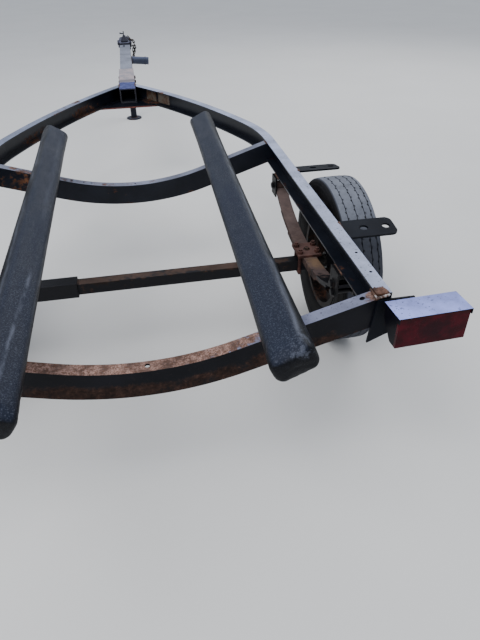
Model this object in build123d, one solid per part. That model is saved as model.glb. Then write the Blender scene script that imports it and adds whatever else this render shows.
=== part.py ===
from build123d import *
import math
import os

# Boat trailer with two bunks, two wheels on a leaf-sprung axle and a jack through the tongue.
# Sizes are millimetres. They are laid out from a drawing datum: X = 0 on the centre line,
# Y = 0 at the rear face of the rear crossmember, Z = 0 at the tops of the side rails.
# At the end every piece is moved so that Z = 0 is the ground and the length is centred on Y = 0.

# Stance
rail_top_height = 533.0
wheel_y = 595.0
wheel_outset = 85.0

# Side rails, formed channel that opens inward and bends in to meet at the nose
rail_height = 76.0
rail_flange = 38.0
rail_wall = 5.0
frame_half_width = 583.0
straight_length = 1180.0
first_bend_radius = 800.0
first_bend_angle = 20.0
nose_bend_radius = 3527.0
nose_bend_reach = 22.0
rail_hole_radius = 4.0
rail_hole_places = (98.0, 198.0)

# Crossmembers, dished channel that opens forward
cross_height = 76.0
cross_flange = 38.0
cross_wall = 5.0
# tops are the heights of the top lines where they meet the rails' webs
rear_cross_top = -6.0
rear_cross_slope = 0.29
rear_cross_dish_radius = 778.0
front_cross_setback = 34.0
front_cross_top = 6.0
front_cross_slope = 0.32
front_cross_dish_radius = 900.0
cross_hole_radius = 6.5
cross_hole_inset = 63.0
front_hole_radius = 4.0
front_hole_places = (-246.0, -202.0, -172.0, 0.0)

# Tongue: an inner tube that slides in a shorter sleeve, rising a little to the front
tongue_lap = 168.5
tongue_rise = 0.02
sleeve_width = 89.0
sleeve_height = 76.0
sleeve_wall = 6.0
sleeve_length = 505.0
tube_clearance = 0.3
tube_wall = 5.0
tube_insertion = 300.0
tube_reach = 1550.0

# Gusset under the nose
gusset_thickness = 6.0
gusset_lap = 95.0
gusset_length = 250.0
gusset_rear_width = 356.0
gusset_side_length = 40.0

# Coupler
coupler_lap = 72.0
coupler_wall = 5.0
coupler_depth = 58.0
coupler_nose_reach = 150.0
coupler_nose_radius = 39.0
coupler_shoulder_reach = 10.0
coupler_dome_drop = 29.0
ball_radius = 25.4
ball_clearance = 0.6
socket_outer_radius = 33.0
latch_width = 22.0
latch_setback = 30.0
latch_length = 74.0
latch_thickness = 8.0
latch_tab_length = 20.0
latch_tab_height = 14.0

# Jack
jack_setback = 130.0
jack_tube_radius = 28.5
jack_tube_wall = 4.0
jack_tube_bottom = -290.0
jack_plate_width = 106.0
jack_plate_length = 100.0
jack_plate_thickness = 12.0
jack_head_base_height = 9.0
jack_head_shoulder_height = 27.0
jack_head_shoulder_radius = 17.0
jack_head_height = 42.0
jack_head_top_radius = 8.0
jack_leg_radius = 24.0
jack_leg_wall = 4.0
jack_leg_lap = 100.0
jack_foot_radius = 60.0
jack_foot_thickness = 8.0
crank_radius = 4.0
crank_spindle_height = 30.0
crank_arm_height = 12.0
crank_arm_length = 24.0
crank_arm_lift = 5.0
crank_knob_radius = 6.0

# Bare stub for a side jack
stub_setback = 585.0
stub_radius = 24.0
stub_length = 119.0
stub_droop = 5.0
stub_ring_radius = 26.0
stub_ring_width = 8.0
stub_ring_place = 0.8

# Safety chain, hung from a bolt in the coupler's side and laid over the jack's plate against its head
link_wire_radius = 3.0
link_inner_length = 24.0
link_inner_width = 7.6
link_pitch = 21.0
chain_bolt_radius = 3.3
chain_bolt_length = 26.0
chain_bolt_head_radius = 7.0
chain_bolt_head_height = 5.0
# right of the tube's side, forward of the jack, above the tube's top
chain_route = (
    (22.0, 92.0, -38.0), (22.0, 86.0, -66.0), (19.0, 62.0, -96.0), (24.0, 44.0, -76.0),
    (36.0, 30.0, -44.0), (33.0, 18.0, -6.0), (25.0, 8.0, 18.0), (9.0, 3.0, 28.0), (-4.0, 0.0, 39.0),
)

# Axle and sleeve
axle_size = 38.0
axle_centre_z = -250.0
axle_outset = 15.0
axle_sleeve_size = 51.0
axle_sleeve_gap = 0.5
axle_sleeve_inner_x = -215.0

# Leaf springs, above the axle
spring_inset = 21.0
leaf_width = 45.0
leaf_thickness = 8.0
leaf_seat_half = 50.0
eye_reach = 375.0
eye_z = -112.0
eye_radius = 17.0
short_leaf_half_lengths = (270.0, 165.0)
hanger_bolt_radius = 7.0
hanger_gap = 0.5
hanger_wall = 5.0
hanger_length = 60.0
hanger_drop = 74.0
slipper_gap = 0.3
keeper_gap = 3.0
clamp_plate_length = 90.0
clamp_plate_thickness = 8.0
u_bolt_radius = 6.0
u_bolt_side_gap = 1.0
u_bolt_nut_height = 10.0
u_bolt_nut_radius = 10.5
u_bolt_end = 16.0
hanger_pin_end = 8.0

# Wheels
spindle_radius = 15.0
spindle_shoulder_radius = 22.0
spindle_tip_outset = 34.0
spindle_shoulder_gap = 1.0
hub_running_gap = 0.05
hub_barrel_radius = 29.0
hub_flange_radius = 66.0
hub_flange_thickness = 9.0
hub_inner_inset = 36.0
hub_outer_outset = 29.0
hub_cap_length = 28.0
hub_cap_radius = 24.0
hub_cap_wall = 3.0
hub_cap_round = 8.0
hub_cap_room = 3.0
lug_circle_radius = 50.8
lug_radius = 6.35
lug_count = 4
lug_length = 24.0
wheel_disc_offset = 10.0
wheel_disc_thickness = 4.0
rim_radius = 152.4
rim_width = 101.6
rim_flange_height = 15.0
rim_wall = 4.0
rim_ledge = 20.0
rim_well_depth = 22.0
rim_well_slant = 10.0
rim_hole_clearance = 0.3
disc_flat_radius = 72.0
disc_dish_radius = 94.0
disc_dish_depth = 14.0
tyre_radius = 283.0
tyre_width = 130.0
tread_width = 106.0
tyre_wall = 11.0
tyre_crown = 3.0
tyre_flank_rise = 4.0
tyre_inner_shoulder_step = 4.0
tyre_belt_extra = 6.0
tyre_seat_gap = 0.3
groove_depth = 6.0
groove_width = 5.0
groove_places = (-34.0, -5.0, 21.5, 42.0)

# Brackets left on the rails where fenders were
fender_bracket_places = (344.0, 842.0)
fender_bracket_width = 82.0
fender_bracket_thickness = 6.0
fender_bracket_reach = 157.0
fender_bracket_tilt = 9.0
fender_bracket_z = -6.0
fender_bracket_corner = 20.0
fender_hole_radius = 11.0
fender_hole_x = 131.0
fender_slot_x = 64.0
fender_slot_length = 26.0

# Rear lights
light_inset = 21.0
light_width = 176.0
light_top_z = -12.0
light_height = 84.0
light_rear_y = -88.0
light_front_y = -20.0
light_bottom_depth = 28.0
light_front_depth = 40.0
light_skew = 2.5
light_cover_thickness = 2.0
light_cover_overhang = 3.0
light_cover_lip = 12.0
lens_thickness = 8.0
light_boss_radius = 8.0
light_boss_drop = 20.0
light_boss_insets = (18.0, 64.0)
light_plate_thickness = 6.0
light_plate_inset = 35.0
light_plate_width = 92.0
light_plate_height = 122.0
light_plate_lean = 13.0
light_plate_tail_width = 46.0
light_plate_tail_rise = 21.0
light_plate_top_gap = 4.0

# Bunks
bunk_width = 104.0
bunk_thickness = 67.0
bunk_corner = 23.0
bunk_top_z = 35.0
# side, rear X, rear Y, front X, front Y, tilt about the length
bunk_table = (
    ("right", 277.0, -215.0, 307.0, 1510.0, -25.0),
    ("left", -249.0, -260.0, -290.0, 1430.0, 36.0),
)
bunk_seat_gap = 0.3
bunk_post_width = 50.0
bunk_post_thickness = 6.0
bunk_pad_length = 70.0
bunk_pad_thickness = 5.0

# Blank plates on the right rail's web: distance from the rails' meeting point, and length
rail_plate_thickness = 2.0
rail_plate_margin = 10.0
rail_plate_gap = 0.3
rail_plate_places = ((184.0, 86.0), (289.0, 104.0))

# How far a cutting shape, or a joint inside solid metal, runs past the surface
overcut = 1.0

# Worked out from the sizes above
ground_z = -rail_top_height
wheel_centre_x = frame_half_width + wheel_outset
spindle_tip_x = wheel_centre_x + spindle_tip_outset
hub_inner_x = wheel_centre_x - hub_inner_inset
hub_outer_x = wheel_centre_x + hub_outer_outset
axle_half_length = frame_half_width + axle_outset
spring_x = frame_half_width - spring_inset
light_inner_x = frame_half_width - light_inset
light_outer_x = light_inner_x + light_width
light_plate_inner_x = frame_half_width - light_plate_inset
# rear face Y, top, slope and dish radius
rear_cross = (0.0, rear_cross_top, rear_cross_slope, rear_cross_dish_radius)
front_cross = (
    straight_length - front_cross_setback, front_cross_top, front_cross_slope, front_cross_dish_radius
)
first_bend_centre = (frame_half_width - first_bend_radius, straight_length)
turn = math.radians(first_bend_angle)
nose_bend_start = (
    first_bend_centre[0] + first_bend_radius * math.cos(turn),
    first_bend_centre[1] + first_bend_radius * math.sin(turn),
)
nose_bend_centre = (
    nose_bend_start[0] - nose_bend_radius * math.cos(turn),
    nose_bend_start[1] - nose_bend_radius * math.sin(turn),
)
nose_heading = math.acos(-nose_bend_centre[0] / nose_bend_radius)
nose_y = nose_bend_centre[1] + nose_bend_radius * math.sin(nose_heading)
tongue_rear_y = nose_y - tongue_lap
gusset_rear_y = tongue_rear_y - gusset_lap
gusset_front_y = gusset_rear_y + gusset_length
tube_front_y = tongue_rear_y + tube_reach
coupler_rear_y = tube_front_y - coupler_lap
coupler_nose_y = tube_front_y + coupler_nose_reach
jack_y = tube_front_y - jack_setback
stub_y = tube_front_y - stub_setback
tongue_angle = math.degrees(math.atan(tongue_rise))
tongue_frame = Pos(0, tongue_rear_y, 0) * Rot(X=tongue_angle)
tube_width = sleeve_width - 2 * (sleeve_wall + tube_clearance)
tube_height = sleeve_height - 2 * (sleeve_wall + tube_clearance)
tube_top = -sleeve_wall - tube_clearance
axle_top = axle_centre_z + axle_size / 2
leaf_half_lengths = (eye_reach, *short_leaf_half_lengths)
pack_height = leaf_thickness * len(leaf_half_lengths)
leaf_top = axle_top + pack_height

nodes = {}


def box(low, high):
    """Box between two opposite corners."""
    size = [b - a for a, b in zip(low, high)]
    return Pos(*low) * Box(*size, align=(Align.MIN, Align.MIN, Align.MIN))


def bar(start, end, radius):
    """Round bar between two points."""
    a, b = Vector(*start), Vector(*end)
    return Plane(origin=a, z_dir=b - a) * Cylinder(
        radius, (b - a).length, align=(Align.CENTER, Align.CENTER, Align.MIN)
    )


def both_sides(name, solid):
    """Keep a piece of the right side and its mirror image on the left."""
    nodes[name + "_right"] = solid
    nodes[name + "_left"] = mirror(solid, about=Plane.YZ)


def bend_point(centre, radius, heading):
    angle = math.radians(heading)
    return (centre[0] + radius * math.cos(angle), centre[1] + radius * math.sin(angle))


def rail_strip(outer, inner):
    """Plan of a strip along the right rail, between two distances inward of its outer edge."""
    edges = []
    for offset in (outer, inner):
        x = frame_half_width - offset
        first = first_bend_radius - offset
        nose = nose_bend_radius - offset
        edges.append(Line((x, 0), (x, straight_length)))
        edges.append(CenterArc(first_bend_centre, first, 0, first_bend_angle))
        edges.append(CenterArc(nose_bend_centre, nose, first_bend_angle, nose_bend_reach))
    last = first_bend_angle + nose_bend_reach
    edges.append(Line((frame_half_width - outer, 0), (frame_half_width - inner, 0)))
    edges.append(Line(
        bend_point(nose_bend_centre, nose_bend_radius - outer, last),
        bend_point(nose_bend_centre, nose_bend_radius - inner, last),
    ))
    return make_face(edges)


def cross_strip(member, outer, inner):
    """Elevation of a strip along a crossmember, between two distances below its top line."""
    _, top, slope, radius = member
    angle = math.atan(slope)
    half = frame_half_width - rail_wall
    tangent_x = radius * math.sin(angle)
    tangent_z = top - slope * (half - tangent_x)
    centre_z = tangent_z + radius * math.cos(angle)
    edges = []
    ends = []
    for offset in (outer, inner):
        reach = radius + offset
        x = reach * math.sin(angle)
        z = centre_z - reach * math.cos(angle)
        end_z = top - offset / math.cos(angle)
        edges.append(Line((-half, end_z), (-x, z)))
        edges.append(CenterArc((0, centre_z), reach, 270 - math.degrees(angle), 2 * math.degrees(angle)))
        edges.append(Line((x, z), (half, end_z)))
        ends.append(end_z)
    for side in (-half, half):
        edges.append(Line((side, ends[0]), (side, ends[1])))
    return make_face(edges)


def cross_top(member, x):
    """Height of a crossmember's top line at a distance from the centre line."""
    _, top, slope, radius = member
    angle = math.atan(slope)
    tangent_x = radius * math.sin(angle)
    half = frame_half_width - rail_wall
    if abs(x) > tangent_x:
        return top - slope * (half - abs(x))
    centre_z = top - slope * (half - tangent_x) + radius * math.cos(angle)
    return centre_z - math.sqrt(radius ** 2 - x ** 2)


def in_elevation(face, y, depth):
    """Stand a face drawn in X and Z upright at a Y, and push it forward by a depth."""
    upright = Plane(origin=(0, y, 0), x_dir=(1, 0, 0), z_dir=(0, -1, 0))
    return extrude(upright * face, -depth)


def make_rails():
    channel = extrude(rail_strip(0, rail_flange), -rail_height)
    hollow = Pos(0, 0, -rail_wall) * extrude(
        rail_strip(rail_wall, rail_flange + rail_wall), -(rail_height - 2 * rail_wall)
    )
    rail = channel - hollow
    length = 2 * straight_length + first_bend_radius
    rail &= box((0, 0, -rail_height), (frame_half_width, length, 0))
    for y in rail_hole_places:
        middle = frame_half_width - rail_flange / 2 + rail_wall
        rail -= bar((middle, y, 0), (middle, y, -rail_wall), rail_hole_radius)
    sleeve = tongue_frame * box(
        (-sleeve_width / 2, 0, -sleeve_height), (sleeve_width / 2, sleeve_length, rail_wall)
    )
    rail -= sleeve
    both_sides("side_rail", rail)


def make_crossmember(name, member, holes, hole_radius):
    y = member[0]
    channel = in_elevation(cross_strip(member, 0, cross_height), y, cross_flange)
    inside = in_elevation(
        cross_strip(member, cross_wall, cross_height - cross_wall), y + cross_wall, cross_flange
    )
    channel -= inside
    channel -= box(
        (-frame_half_width, y - cross_wall, -rail_wall),
        (frame_half_width, y + 2 * cross_flange, rail_height),
    )
    for side in ("left", "right"):
        channel -= nodes["side_rail_" + side]
    for x in holes:
        z = cross_top(member, x)
        middle = y + (cross_wall + cross_flange) / 2
        channel -= bar((x, middle, z + cross_wall), (x, middle, z - 2 * cross_wall), hole_radius)
    nodes[name] = channel


def make_gusset():
    rear_x = gusset_rear_width / 2
    front_x = sleeve_width / 2
    side_y = gusset_front_y - gusset_side_length
    outline = make_face(Polyline(
        (-rear_x, gusset_rear_y), (rear_x, gusset_rear_y), (front_x, side_y), (front_x, gusset_front_y),
        (-front_x, gusset_front_y), (-front_x, side_y), close=True,
    ))
    nodes["apex_plate"] = Pos(0, 0, -rail_height) * extrude(outline, -gusset_thickness)


def make_tongue():
    half_sleeve = sleeve_width / 2
    sleeve = box((-half_sleeve, 0, -sleeve_height), (half_sleeve, sleeve_length, 0))
    bore_half = half_sleeve - sleeve_wall
    sleeve -= box(
        (-bore_half, -sleeve_wall, sleeve_wall - sleeve_height),
        (bore_half, sleeve_length + sleeve_wall, -sleeve_wall),
    )
    # The sleeve is pulled in where it would pass through the gusset.
    sleeve -= tongue_frame.inverse() * nodes["apex_plate"]
    nodes["tongue_rear_tube"] = tongue_frame * sleeve

    start = sleeve_length - tube_insertion
    end = tube_front_y - tongue_rear_y
    half = tube_width / 2
    tube = box((-half, start, tube_top - tube_height), (half, end, tube_top))
    tube -= box(
        (tube_wall - half, start - tube_wall, tube_top - tube_height + tube_wall),
        (half - tube_wall, end + tube_wall, tube_top - tube_wall),
    )
    tube = tongue_frame * tube
    tube -= bar((0, jack_y, ground_z), (0, jack_y, rail_top_height), jack_tube_radius)
    nodes["tongue_front_tube"] = tube


def tongue_top(y):
    """Height of the inner tube's top face at a place along the trailer."""
    return (y - tongue_rear_y) * tongue_rise + tube_top / math.cos(math.radians(tongue_angle))


def make_stub():
    side = tube_width / 2
    middle = tongue_top(stub_y) - tube_height / 2
    lie = Pos(side, stub_y, middle) * Rot(Y=90 + stub_droop)
    stub = lie * Pos(0, 0, -stub_radius) * Cylinder(
        stub_radius, stub_length + stub_radius, align=(Align.CENTER, Align.CENTER, Align.MIN)
    )
    stub += lie * Pos(0, 0, stub_length * stub_ring_place) * Cylinder(stub_ring_radius, stub_ring_width)
    stub -= box(
        (-side, stub_y - sleeve_width, middle - sleeve_width),
        (side, stub_y + sleeve_width, middle + sleeve_width),
    )
    nodes["jack_mount_stub"] = stub


def make_jack():
    plate_low = tongue_top(jack_y)
    lift = tongue_frame * Pos(0, jack_y - tongue_rear_y, tube_top)
    plate = lift * Pos(0, 0, jack_plate_thickness / 2) * Box(
        jack_plate_width, jack_plate_length, jack_plate_thickness
    )
    head_z = plate_low + jack_plate_thickness + overcut
    tube = bar((0, jack_y, jack_tube_bottom), (0, jack_y, head_z), jack_tube_radius)
    tube = plate + tube
    tube -= bar(
        (0, jack_y, jack_tube_bottom - overcut), (0, jack_y, plate_low),
        jack_tube_radius - jack_tube_wall,
    )
    nodes["tongue_jack_tube"] = tube

    shoulder = (jack_head_shoulder_radius, jack_head_shoulder_height)
    dome = make_face([
        Line((0, 0), (jack_tube_radius, 0)),
        Line((jack_tube_radius, 0), (jack_tube_radius, jack_head_base_height)),
        Line((jack_tube_radius, jack_head_base_height), shoulder),
        Line(shoulder, (jack_head_top_radius, jack_head_height)),
        Line((jack_head_top_radius, jack_head_height), (0, jack_head_height)),
        Line((0, jack_head_height), (0, 0)),
    ])
    dome = Pos(0, jack_y, head_z) * revolve(Plane.XZ * dome, Axis.Z)
    top = head_z + jack_head_height
    arm_start = (0, jack_y, top + crank_arm_height)
    arm_end = (-crank_arm_length, jack_y, arm_start[2] + crank_arm_lift)
    crank = dome + bar((0, jack_y, top - overcut), (0, jack_y, top + crank_spindle_height), crank_radius)
    crank += bar(arm_start, arm_end, crank_radius)
    crank += Pos(*arm_end) * Sphere(crank_knob_radius)
    nodes["tongue_jack_crank"] = crank

    foot_top = ground_z + jack_foot_thickness
    leg_top = jack_tube_bottom + jack_leg_lap
    leg = bar((0, jack_y, foot_top), (0, jack_y, leg_top), jack_leg_radius)
    leg -= bar(
        (0, jack_y, foot_top), (0, jack_y, leg_top - jack_leg_wall), jack_leg_radius - jack_leg_wall
    )
    leg += bar((0, jack_y, ground_z), (0, jack_y, foot_top), jack_foot_radius)
    nodes["tongue_jack_leg"] = leg


def make_coupler():
    outer_half = tube_width / 2 + tube_clearance + coupler_wall
    start = coupler_rear_y - tongue_rear_y
    nose = coupler_nose_y - tongue_rear_y
    centre = nose - coupler_nose_radius
    shoulder = tube_front_y - tongue_rear_y + coupler_shoulder_reach

    def outline(inset):
        half = outer_half - inset
        nose_half = coupler_nose_radius - inset
        return make_face([
            Line((-half, start), (half, start)),
            Line((half, start), (half, shoulder)),
            Line((half, shoulder), (nose_half, centre)),
            CenterArc((0, centre), nose_half, 0, 180),
            Line((-nose_half, centre), (-half, shoulder)),
            Line((-half, shoulder), (-half, start)),
        ])

    shell = extrude(outline(0), -coupler_depth)
    shell -= Pos(0, 0, -coupler_wall) * extrude(outline(coupler_wall), -coupler_depth)
    shell -= box(
        (coupler_wall - outer_half, start - coupler_wall, -coupler_depth - overcut),
        (outer_half - coupler_wall, start + 2 * coupler_wall, -coupler_wall),
    )
    boss = Pos(0, centre, -coupler_wall / 2) * Cylinder(
        socket_outer_radius, coupler_depth - coupler_wall / 2, align=(Align.CENTER, Align.CENTER, Align.MAX)
    )
    socket_z = -coupler_depth + ball_radius / 2
    socket = Pos(0, centre, socket_z) * Sphere(ball_radius + ball_clearance)
    socket += Pos(0, centre, socket_z) * Cylinder(
        ball_radius + ball_clearance, coupler_depth, align=(Align.CENTER, Align.CENTER, Align.MAX)
    )
    dome = Pos(0, centre, -coupler_dome_drop) * Sphere(coupler_nose_radius)
    dome &= box(
        (-outer_half, centre - outer_half, -coupler_wall / 2), (outer_half, nose, coupler_nose_radius)
    )
    seat = tongue_frame * Pos(0, 0, tube_top + tube_clearance + coupler_wall)
    nodes["coupler"] = seat * (shell + boss + dome - socket)

    latch_front = centre - latch_setback
    latch_rear = latch_front - latch_length
    side = latch_width / 2
    latch = box((-side, latch_rear, 0), (side, latch_front, latch_thickness))
    latch += box(
        (-side, latch_front - latch_tab_length, 0),
        (side, latch_front, latch_thickness + latch_tab_height),
    )
    nodes["coupler_latch"] = seat * latch


def chain_link(middle, along, across):
    """One round-wire link whose long way is 'along' and whose flat lies over 'across'."""
    half = link_inner_length / 2 - link_inner_width / 2
    radius = link_inner_width / 2 + link_wire_radius
    path = Wire([
        Line((half, -radius), (-half, -radius)).edge(),
        ThreePointArc((-half, -radius), (-half - radius, 0), (-half, radius)).edge(),
        Line((-half, radius), (half, radius)).edge(),
        ThreePointArc((half, radius), (half + radius, 0), (half, -radius)).edge(),
    ])
    section = Plane(origin=(0, -radius, 0), z_dir=(-1, 0, 0)) * Circle(link_wire_radius)
    link = sweep(section, path)
    return Plane(origin=middle, x_dir=along, z_dir=across) * link


def make_chain():
    side = tube_width / 2
    top = tongue_top(jack_y)
    route = Spline(*[(side + x, jack_y + y, top + z) for x, y, z in chain_route])
    count = int(route.length / link_pitch)
    flat = Vector(1, 0, 0)
    links = []
    for index in range(count + 1):
        along = route % (index / count)
        flat = (flat - along * flat.dot(along)).normalized()
        across = flat.cross(along) if index % 2 else flat
        links.append(chain_link(route @ (index / count), along, across))
    # the bolt through the first link's upper end
    bolt = route @ 0 - (route % 0) * ((link_inner_length - link_inner_width) / 2)
    start = (side + tube_clearance + coupler_wall, bolt.Y, bolt.Z)
    end = (start[0] + chain_bolt_length, bolt.Y, bolt.Z)
    head = (end[0] + chain_bolt_head_height, bolt.Y, bolt.Z)
    links.append(bar(start, end, chain_bolt_radius) + bar(end, head, chain_bolt_head_radius))
    nodes["safety_chain"] = links


def make_axle():
    half = axle_size / 2
    beam = box(
        (-axle_half_length, wheel_y - half, axle_centre_z - half),
        (axle_half_length, wheel_y + half, axle_centre_z + half),
    )
    nodes["axle_beam"] = beam
    outer = axle_sleeve_size / 2
    bore = half + axle_sleeve_gap
    left_end = -spring_x + leaf_width / 2 + 2 * u_bolt_nut_radius
    sleeve = box(
        (left_end, wheel_y - outer, axle_centre_z - outer),
        (axle_sleeve_inner_x, wheel_y + outer, axle_centre_z + outer),
    )
    sleeve -= box(
        (left_end - overcut, wheel_y - bore, axle_centre_z - bore),
        (axle_sleeve_inner_x + overcut, wheel_y + bore, axle_centre_z + bore),
    )
    nodes["axle_sleeve"] = sleeve


def make_springs():
    rise = eye_z - leaf_top
    run = eye_reach - leaf_seat_half
    radius = (run ** 2 + rise ** 2) / (2 * rise)
    centre_z = leaf_top + radius
    spring = None
    for index, half in enumerate(leaf_half_lengths):
        near = radius + index * leaf_thickness
        far = near + leaf_thickness
        sweep_angle = math.degrees(math.asin((half - leaf_seat_half) / radius))
        edges = []
        for reach in (near, far):
            z = centre_z - reach
            edges.append(Line((-leaf_seat_half, z), (leaf_seat_half, z)))
            edges.append(CenterArc((leaf_seat_half, centre_z), reach, 270, sweep_angle))
            edges.append(CenterArc((-leaf_seat_half, centre_z), reach, 270 - sweep_angle, sweep_angle))
        for side in (-1, 1):
            angle = math.radians(270 + side * sweep_angle)
            edges.append(Line(
                (side * leaf_seat_half + near * math.cos(angle), centre_z + near * math.sin(angle)),
                (side * leaf_seat_half + far * math.cos(angle), centre_z + far * math.sin(angle)),
            ))
        side_view = Plane(origin=(spring_x - leaf_width / 2, wheel_y, 0), x_dir=(0, 1, 0), z_dir=(1, 0, 0))
        leaf = extrude(side_view * make_face(edges), leaf_width)
        spring = leaf if spring is None else spring + leaf
    eye_y = wheel_y + eye_reach
    eye = bar(
        (spring_x - leaf_width / 2, eye_y, eye_z), (spring_x + leaf_width / 2, eye_y, eye_z), eye_radius
    )
    spring += eye
    spring -= bar(
        (spring_x - leaf_width, eye_y, eye_z), (spring_x + leaf_width, eye_y, eye_z),
        hanger_bolt_radius + tube_clearance,
    )
    both_sides("leaf_spring", spring)

    inner = leaf_width / 2 + hanger_gap
    outer = inner + hanger_wall
    hangers = []
    for y in (eye_y, wheel_y - eye_reach + hanger_length / 2):
        hanger = box(
            (spring_x - outer, y - hanger_length / 2, -rail_height - hanger_drop),
            (spring_x + outer, y + hanger_length / 2, -rail_height),
        )
        hanger -= box(
            (spring_x - inner, y - hanger_length, -rail_height - hanger_drop - overcut),
            (spring_x + inner, y + hanger_length, -rail_height - hanger_wall),
        )
        hangers.append(hanger)
    pin_ends = (spring_x - outer - hanger_pin_end, spring_x + outer + hanger_pin_end)
    hangers[0] += bar((pin_ends[0], eye_y, eye_z), (pin_ends[1], eye_y, eye_z), hanger_bolt_radius)
    # The plain rear end of the spring bears up on one pin and is kept in by another below it.
    rear_run = eye_reach - hanger_length / 2 - leaf_seat_half
    rear_angle = math.asin(rear_run / radius)
    for reach in (
        radius - hanger_bolt_radius - slipper_gap,
        radius + leaf_thickness + hanger_bolt_radius + keeper_gap,
    ):
        y = wheel_y - leaf_seat_half - reach * math.sin(rear_angle)
        z = centre_z - reach * math.cos(rear_angle)
        hangers[1] += bar((pin_ends[0], y, z), (pin_ends[1], y, z), hanger_bolt_radius)
    both_sides("spring_hangers", Compound(hangers))

    leg_x = leaf_width / 2 + u_bolt_radius + u_bolt_side_gap
    leg_y = axle_size / 2 + u_bolt_radius
    plate_half = leg_x + u_bolt_nut_radius
    clamp = box(
        (spring_x - plate_half, wheel_y - clamp_plate_length / 2, leaf_top),
        (spring_x + plate_half, wheel_y + clamp_plate_length / 2, leaf_top + clamp_plate_thickness),
    )
    plate_top = leaf_top + clamp_plate_thickness
    leg_top = plate_top + u_bolt_end
    for dx in (-leg_x, leg_x):
        x = spring_x + dx
        bottom = axle_centre_z - axle_size / 2 - u_bolt_radius
        for dy in (-leg_y, leg_y):
            clamp += bar((x, wheel_y + dy, bottom), (x, wheel_y + dy, leg_top), u_bolt_radius)
            clamp += Pos(x, wheel_y + dy, plate_top + u_bolt_nut_height / 2) * extrude(
                RegularPolygon(u_bolt_nut_radius, 6), u_bolt_nut_height / 2, both=True
            )
        bend_y = leg_y + u_bolt_radius / 2
        clamp += bar((x, wheel_y - bend_y, bottom), (x, wheel_y + bend_y, bottom), u_bolt_radius)
    both_sides("spring_clamp", clamp)


def turned(points, y, z):
    """Solid of revolution about the wheel's axis, from a closed outline of (X, radius) points."""
    face = make_face(Polyline(*points, close=True))
    return Pos(0, y, z) * revolve(face, Axis.X)


def make_wheels():
    y, z = wheel_y, axle_centre_z
    shoulder_end = hub_inner_x - spindle_shoulder_gap
    spindle = turned([
        (axle_half_length, 0), (axle_half_length, spindle_shoulder_radius),
        (shoulder_end, spindle_shoulder_radius), (shoulder_end, spindle_radius),
        (spindle_tip_x, spindle_radius), (spindle_tip_x, 0),
    ], y, z)
    both_sides("wheel_spindle", spindle)

    bore = spindle_radius + hub_running_gap
    disc_x = wheel_centre_x + wheel_disc_offset
    flange_x = disc_x - hub_flange_thickness
    cap_end = hub_outer_x + hub_cap_length
    cap_inner_end = cap_end - hub_cap_wall
    cap_bore = hub_cap_radius - hub_cap_wall
    cap_room = spindle_tip_x + hub_cap_room
    hub = turned([
        (hub_inner_x, bore), (hub_inner_x, hub_barrel_radius), (flange_x, hub_barrel_radius),
        (flange_x, hub_flange_radius), (disc_x, hub_flange_radius), (disc_x, hub_barrel_radius),
        (hub_outer_x, hub_barrel_radius), (hub_outer_x, hub_cap_radius),
        (cap_end - hub_cap_round, hub_cap_radius), (cap_end, hub_cap_radius - hub_cap_round), (cap_end, 0),
        (cap_inner_end, 0), (cap_inner_end, cap_bore - hub_cap_round),
        (cap_inner_end - hub_cap_round, cap_bore), (cap_room, cap_bore), (cap_room, bore),
    ], y, z)
    for index in range(lug_count):
        angle = math.radians(360 * (index + 0.5) / lug_count)
        ly = y + lug_circle_radius * math.cos(angle)
        lz = z + lug_circle_radius * math.sin(angle)
        hub += bar((disc_x - overcut, ly, lz), (disc_x + lug_length, ly, lz), lug_radius)
    both_sides("wheel_hub", hub)

    half = rim_width / 2
    low = wheel_centre_x - half
    high = wheel_centre_x + half
    flange_top = rim_radius + rim_flange_height
    ledge = rim_ledge + rim_well_slant
    well = rim_radius - rim_well_depth
    barrel_bore = rim_radius - rim_wall
    well_bore = well - rim_wall
    rim = turned([
        (low - rim_wall, flange_top), (low, flange_top), (low, rim_radius), (low + rim_ledge, rim_radius),
        (low + ledge, well), (high - ledge, well), (high - rim_ledge, rim_radius), (high, rim_radius),
        (high, flange_top), (high + rim_wall, flange_top), (high + rim_wall, barrel_bore),
        (high - rim_ledge, barrel_bore), (high - ledge, well_bore),
        (low + ledge, well_bore), (low + rim_ledge, barrel_bore), (low - rim_wall, barrel_bore),
    ], y, z)
    outer_x = disc_x + wheel_disc_thickness
    bore = hub_barrel_radius + rim_hole_clearance
    rim += turned([
        (disc_x, bore), (disc_x, disc_flat_radius), (disc_x + disc_dish_depth, disc_dish_radius),
        (disc_x, well), (outer_x, well), (outer_x + disc_dish_depth, disc_dish_radius),
        (outer_x, disc_flat_radius), (outer_x, bore),
    ], y, z)
    for index in range(lug_count):
        angle = math.radians(360 * (index + 0.5) / lug_count)
        ly = y + lug_circle_radius * math.cos(angle)
        lz = z + lug_circle_radius * math.sin(angle)
        rim -= bar(
            (disc_x - lug_length, ly, lz), (disc_x + lug_length, ly, lz), lug_radius + rim_hole_clearance
        )
    both_sides("wheel_rim", rim)
    make_tyre()


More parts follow.
